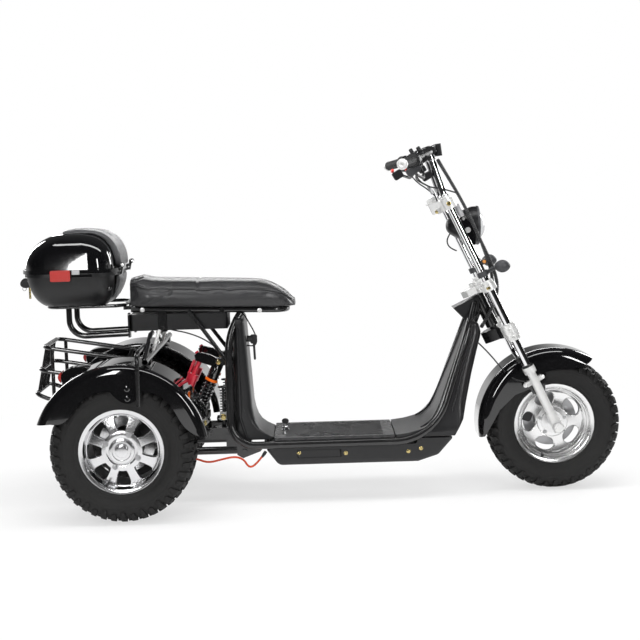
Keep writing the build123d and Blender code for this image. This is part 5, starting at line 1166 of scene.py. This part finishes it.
# ---------------------------------------------------------------- shocks
def build_shocks():
    """Rear shocks: eyes with bolts, a capped body with its ring, the lower cup, the rod and the block
    that carries the reservoir."""
    shock = Batch()
    black, ring, gold, silver, red = range(5)
    for side in (RIGHT, LEFT):
        top, low = np.array([-0.347, side * 0.09, 0.491]), np.array([-0.448, side * 0.09, 0.266])
        way, long = unit(low - top), np.linalg.norm(low - top)
        shock.turned(mm(0, 0, 12, 4, 15, 18, 18.5, 22.5, 19.2, 25, 19.2, 61, 18, 64, 15, 65.5, 0, 65.5), top,
            way, 44, black)
        for s in (0.032, 0.04, 0.048, 0.056):
            shock.turned([(0.0188, s - 0.0018), (0.0197, s), (0.0188, s + 0.0018)], top, way, 44, black, ring=True)
        shock.turned(mm(0, 65, 21.5, 65, 22.6, 66.2, 22.6, 72.2, 21.5, 73.5, 0, 73.5), top, way, 48, ring)
        shock.turned(mm(0, 70, 14, 70, 14, 150, 12.5, 152, 0, 152), top, way, 36, black)
        shock.turned(mm(0, 140, 6.5, 140, 6.5, 205, 0, 205), top, way, 28, silver)
        end = 0.8 * long
        cup = mm(0, 0, 20.5, 0, 21, 1, 21, 10.5, 17, 13, 11, 24) + (0, end)
        shock.turned(np.vstack([cup, [(0.0105, long), (0, long)]]), top, way, 44, black)
        for eye in (top, low):
            shock.turned(mm(0, -13.8, 12.2, -13.8, 13, -12.8, 13, 12.8, 12.2, 13.8, 0, 13.8), eye, Y, 36, black)
            for out in (RIGHT, LEFT):
                seat = eye + Y * out * 0.0194
                shock.turned(mm(0, 0, 10, 0, 10, 1.2, 0, 1.2), seat, Y * out, 28, silver)
                shock.turned(mm(0, 0, 8.8, 1, 8.6, 4, 6.8, 5.8, 4, 6, 3.6, 3.2, 0, 3.2), seat, Y * out, 28, gold)
        # linking block with its red adjuster
        outline = mm(-362, 474, -352, 503, -380, 517, -418, 526, -431, 517, -428, 498, -398, 486)
        shock.plate(outline, (0, side * 0.09 + 0.012, 0), X, Z, 0.024, 0.0025, black)
        shock.turned(mm(0, 0, 7, 0, 7, 9, 5.5, 11, 0, 11.2), (-0.418, side * 0.09, 0.519), (-0.55, 0, 0.83), 24, red)
    shock.piece("shock_bodies", [gloss_black, orange_metal, brass, chrome, red_metal], "frame", "shock_metal",
        ["shocks"], crease=38)


build_shocks()


# ---------------------------------------------------------------- frame fasteners
def build_frame_fittings():
    """Bolts, brackets and lamps' trim that sit on the frame, the rear fenders and the box carrier."""
    kit = Batch()
    silver, gold, black, pale = range(4)
    for side in (RIGHT, LEFT):
        out = Y * side
        for x, z in ((-0.623, 0.453), (-0.623, 0.421)):
            kit.bolt((x, side * 0.409, z), out, 0.011, 0.006, True, black)
        # bright stay from the cross tube up to the seat box
        kit.turned(mm(0, 0, 5.5, 0, 5.5, 94, 0, 94), (-0.572, side * 0.15, 0.524),
            unit(np.array([0.35, -0.15 * side, 1.0])), 18, silver)
        # floor tube ends and seat rail bolts
        kit.bolt((-0.14, side * 0.164, 0.205), out, 0.009, 0.005, True, black)
        kit.bolt((0.23, side * 0.164, 0.205), out, 0.009, 0.005, True, black)
        for x in (-0.6, -0.2):
            z = np.interp(x, [-0.645, -0.1], [0.681, 0.6625])
            kit.bolt((x, side * 0.117, z), out, 0.009, 0.005, True, silver)
        # bump springs: silver sleeves with brass heads
        kit.turned(mm(0, 0, 17.5, 0, 18, 1, 18, 4, 13, 5, 13, 27, 0, 27), (-0.337, side * 0.09, 0.289), Z, 32, silver)
        kit.turned(mm(0, 0, 17.5, 0, 17.5, 4, 0, 6), (-0.337, side * 0.09, 0.4), Z, 32, black)
        kit.bolt((-0.337, side * 0.1085, 0.3), out, 0.012, 0.006, True, gold)
        # hinge pins of the box lid
        kit.turned(mm(0, 0, 6, 0, 6, 2.5, 4, 4, 0, 4.5), (-0.66, side * 0.1245, 0.836), out, 24, silver)
        # moulded studs along the box base
        kit.turned(mm(0, 0, 7, 0, 7, 1.5, 5.5, 2.5, 0, 2.8), (-0.7, side * 0.174, 0.76), out, 20, black)
        for x, z in ((-0.08, 0.174), (0.081, 0.169), (0.296, 0.169), (0.339, 0.178)):
            kit.bolt((x, side * 0.1462, z), out, 0.008, 0.002, True, gold, "dome")
        kit.block((-0.01, side * 0.1458, 0.17), (0.15, 0.0022, 0.026), corner=0.012, edge=0.0008, finish=black)
        # reflector's pale end and the dark clip under it
        kit.block((-0.8065, side * 0.2035, 0.819), (0.026, 0.008, 0.014), corner=0.002, edge=0.001, finish=pale)
        kit.block((-0.786, side * 0.2025, 0.8075), (0.068, 0.009, 0.0105), corner=0.002, edge=0.001, finish=black)
    kit.piece("frame_fittings", [satin_alloy, brass, gloss_black, pale_plastic], "frame", "bare_aluminium", crease=36)


build_frame_fittings()


# ---------------------------------------------------------------- cables
RING_PITCH = 0.0062
harness_route = mm(426, -40, 1160, 448, -96, 1112, 507, -121, 1003, 560, -119, 880, 601, -96, 796, 624, -64,
    726, 614, -46, 655, 566, -38, 577, each=3)
branch_route = mm(566, -104, 868, 592, -94, 800, 604, -80, 735, 607, -66, 694, 612, -50, 662, each=3)
power_route = mm(-470, -150, 172, -434, -150, 166, -393, -150, 149, -345, -150, 160, -300, -150, 169, -270,
    -149, 158, -256, -148, 132, -240, -146, 130, -218, -143, 150, -197, -138, 176, each=3)
brake_route = mm(548, -46, 530, 575, -52, 503, 603, -60, 471, 630, -70, 436, 655, -86, 412, 672, -96.5, 398,
    700, -98, 392, 735, -100, 380, 752, -100, 355, 760, -98, 320, each=3)


def add_cables(name, body, count, radius, runs):
    """Plain black cables, one along each run, as one piece."""
    cables = Batch()
    for points in runs:
        cables.pipe(evenly(points, count), radius, 10)
    cables.piece(name, [cable_black], body, "cable_black", crease=60)


def build_cables():
    """Corrugated harness with its branch, the power lead, the bar's cables, the brake line and the
    frame's cables. Each follows a smooth line; the sleeve's rings are its radius rising and falling
    along that line."""
    sleeve = Batch()
    for route, count, length, radius, swell in (
        (harness_route, 620, 0.66, 0.0052, 0.0013), (branch_route, 230, 0.24, 0.005, 0.0012),
    ):
        line = evenly(route, count)
        wave = np.sin(np.linspace(0, length, count) * 2 * math.pi / RING_PITCH) * 2.0
        sleeve.pipe(line, radius + swell * np.clip(wave, -1, 1), 14, 0)
        # painted shade: a black core just under the mean radius shows in the troughs between the rings
        sleeve.pipe(line, radius - 0.0002, 12, 1)
    end = harness_route[-1]
    sleeve.turned(mm(0, -14, 6.4, -14, 6.6, -10, 6.6, -2, 4.5, 1, 0, 1), end, unit(end - harness_route[-2]), 20, 1)
    obj = sleeve.piece("harness_sleeve", [ribbed_grey, cable_black], None, "cable_black", ["bar_harness"], crease=60)
    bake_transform(obj)

    lead = Batch()
    lead.pipe(evenly(power_route, 160), 0.0035, 14, 0)
    for end, way in ((power_route[0], X), (power_route[-1], (-0.6, -0.1, -0.8))):
        lead.turned(mm(0, -6, 5.5, -6, 6, 4, 4.2, 18, 0, 18), end, way, 18, 1)
    lead.piece("power_lead", [orange_cable, cable_black], "frame", "red_cable", ["power_cable"], crease=50)

    add_cables("bar_cables", "steering", 90, 0.0024, [
        mm(340, -190, 1112, 338, -120, 1098, 374, -90, 1078, 402, -70, 1066, 432, -75, 1064, 486, -105, 1045, each=3),
        mm(335, -150, 1125, 352, -100, 1090, 392, -60, 1072, 416, -40, 1040, 432, -20, 990, each=3),
        mm(335, 150, 1125, 362, 110, 1085, 400, 75, 1060, 452, 100, 1010, 505, 118, 955, 556, 118, 860, 590, 95,
        790, each=3),
        mm(464, -30, 905, 453, -40, 890, 450, -70, 872, 460, -95, 857, 478, -105, 850, each=3),
    ])

    brake = Batch().pipe(evenly(brake_route, 90), 0.0025, 12)
    obj = brake.piece("brake_line", [cable_black], None, "cable_black", crease=60)
    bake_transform(obj)

    add_cables("frame_cables", "frame", 80, 0.0023, [
        mm(-520, -60, 606, -500, -90, 604, -455, -100, 596, -405, -105, 578, -362, -108, 550, -335, -100, 520,
        each=3),
        mm(-290, -40, 660, -262, -40, 655, -243, -40, 620, -224, -42, 585, -214, -46, 552, -226, -52, 534, -250,
        -55, 540, each=3),
        *([(-0.47, s * 0.15, 0.33), (-0.5, s * 0.165, 0.305), (-0.56, s * 0.172, 0.29), (-0.6, s * 0.172, 0.27)]
          for s in (RIGHT, LEFT)),
    ])


build_cables()

# ---------------------------------------------------------------- camera, floor and light
camera_data = bpy.data.cameras.new("Camera")
camera_data.lens = 75.89
camera_data.sensor_width = 36.0
camera = placed("Camera", camera_data)
pitch, yaw, roll = 0.1051, 0.0049, -0.0287
ahead = np.array([math.sin(yaw) * math.cos(pitch), math.cos(yaw) * math.cos(pitch), -math.sin(pitch)])
level = np.array([math.cos(yaw), -math.sin(yaw), 0.0])
upright = np.cross(level, ahead)
camera_x = math.cos(roll) * level + math.sin(roll) * upright
camera_y = -math.sin(roll) * level + math.cos(roll) * upright
camera.matrix_world = Matrix((
    (camera_x[0], camera_y[0], -ahead[0], -0.0172),
    (camera_x[1], camera_y[1], -ahead[1], -4.705),
    (camera_x[2], camera_y[2], -ahead[2], 1.1112),
    (0, 0, 0, 1),
))
scene.camera = camera

# pale floor: a disc that fades to the white of the backdrop, seen white beyond the shadow
turns, rings = 64, np.array([0.0, 0.8, 1.6, 2.3, 2.9])
angle = np.arange(turns) * 2 * math.pi / turns
floor_points = np.stack([
    rings[:, None] * np.cos(angle), rings[:, None] * np.sin(angle) + 0.15, np.zeros((len(rings), turns)),
], -1).reshape(-1, 3)
floor_mesh = bpy.data.meshes.new("floor")
floor_mesh.from_pydata(floor_points, [], grid_quads(len(rings), turns, False, True)[:, ::-1].tolist())
merged(floor_mesh, 1e-5)
floor = placed("floor", floor_mesh)
floor_finish, tree, shader, place = new_finish("Pale floor")
feed(shader, Base_Color=(0.8, 0.8, 0.8, 1), Roughness=0.9, Specular_IOR_Level=0.1)
fade = eased(node(tree, "VectorMath", operation="LENGTH", _0=place).outputs["Value"], 0.9, 2.3, 0.62, 1.0)
seen = node(tree, "LightPath").outputs
either = maths("MAXIMUM", seen["Is Camera Ray"], maths("MULTIPLY", seen["Is Glossy Ray"], 0.25))
white = node(tree, "Emission", Strength=1.0)
both = node(tree, "MixShader", _0=maths("MULTIPLY", either, fade), _1=shader.outputs[0], _2=white.outputs[0])
feed(tree.nodes["Material Output"], Surface=both.outputs[0])
floor_mesh.materials.append(floor_finish)

# white backdrop: glossy rays find it behind the vehicle and a dim room in front and above
world = bpy.data.worlds.new("Studio")
scene.world = world
world.use_nodes = True
tree = world.node_tree
split = node(tree, "SeparateXYZ", _0=node(tree, "TexCoord").outputs["Generated"]).outputs
studio = maths("MULTIPLY", eased(split["Z"], 0.02, 0.24, 0.62, 0.05), eased(split["Y"], -0.3, 0.45, 0.06, 1.0))
seen = node(tree, "LightPath").outputs
glossy = seen["Is Glossy Ray"]
ambient = maths("MULTIPLY", maths("SUBTRACT", 1.0, glossy), 0.3)
ambient = maths("ADD", ambient, maths("MULTIPLY", studio, glossy))
direct = maths("MAXIMUM", seen["Is Camera Ray"], seen["Is Transmission Ray"])
feed(tree.nodes["Background"], Color=(1, 1, 1, 1), Strength=maths("MAXIMUM", ambient, direct))


def softbox(label, place, target, size, power):
    """Rectangular soft light aimed at a point."""
    data = bpy.data.lights.new(label, "AREA")
    data.shape = "RECTANGLE"
    data.size, data.size_y = size
    data.energy = power
    made = placed(label, data)
    aim = (Vector(place) - Vector(target)).to_track_quat("Z", "Y").to_matrix().to_4x4()
    made.matrix_world = Matrix.Translation(Vector(place)) @ aim
    return made


fill = softbox("Overhead fill", (0.0, -0.6, 3.0), (0, 0, 0.4), (3.6, 1.5), 70)
fill.visible_glossy = False
softbox("Overhead strip", (0.1, -0.5, 2.9), (0, 0, 0.4), (3.0, 0.34), 22)
softbox("Window left", (-1.24, -3.3, 1.95), (-0.6, 0, 0.6), (0.3, 2.3), 40)
softbox("Window right", (2.0, -3.0, 1.8), (0.5, 0, 0.5), (0.34, 1.5), 34)
softbox("Back strip", (0.0, 2.6, 1.5), (0, 0, 0.6), (3.2, 0.22), 16)
softbox("Back left", (-2.6, 2.4, 1.7), (0, 0, 0.5), (0.6, 1.8), 34)
softbox("Back right", (2.6, 2.4, 1.7), (0, 0, 0.5), (0.6, 1.8), 34)

scene.view_settings.view_transform = "Standard"
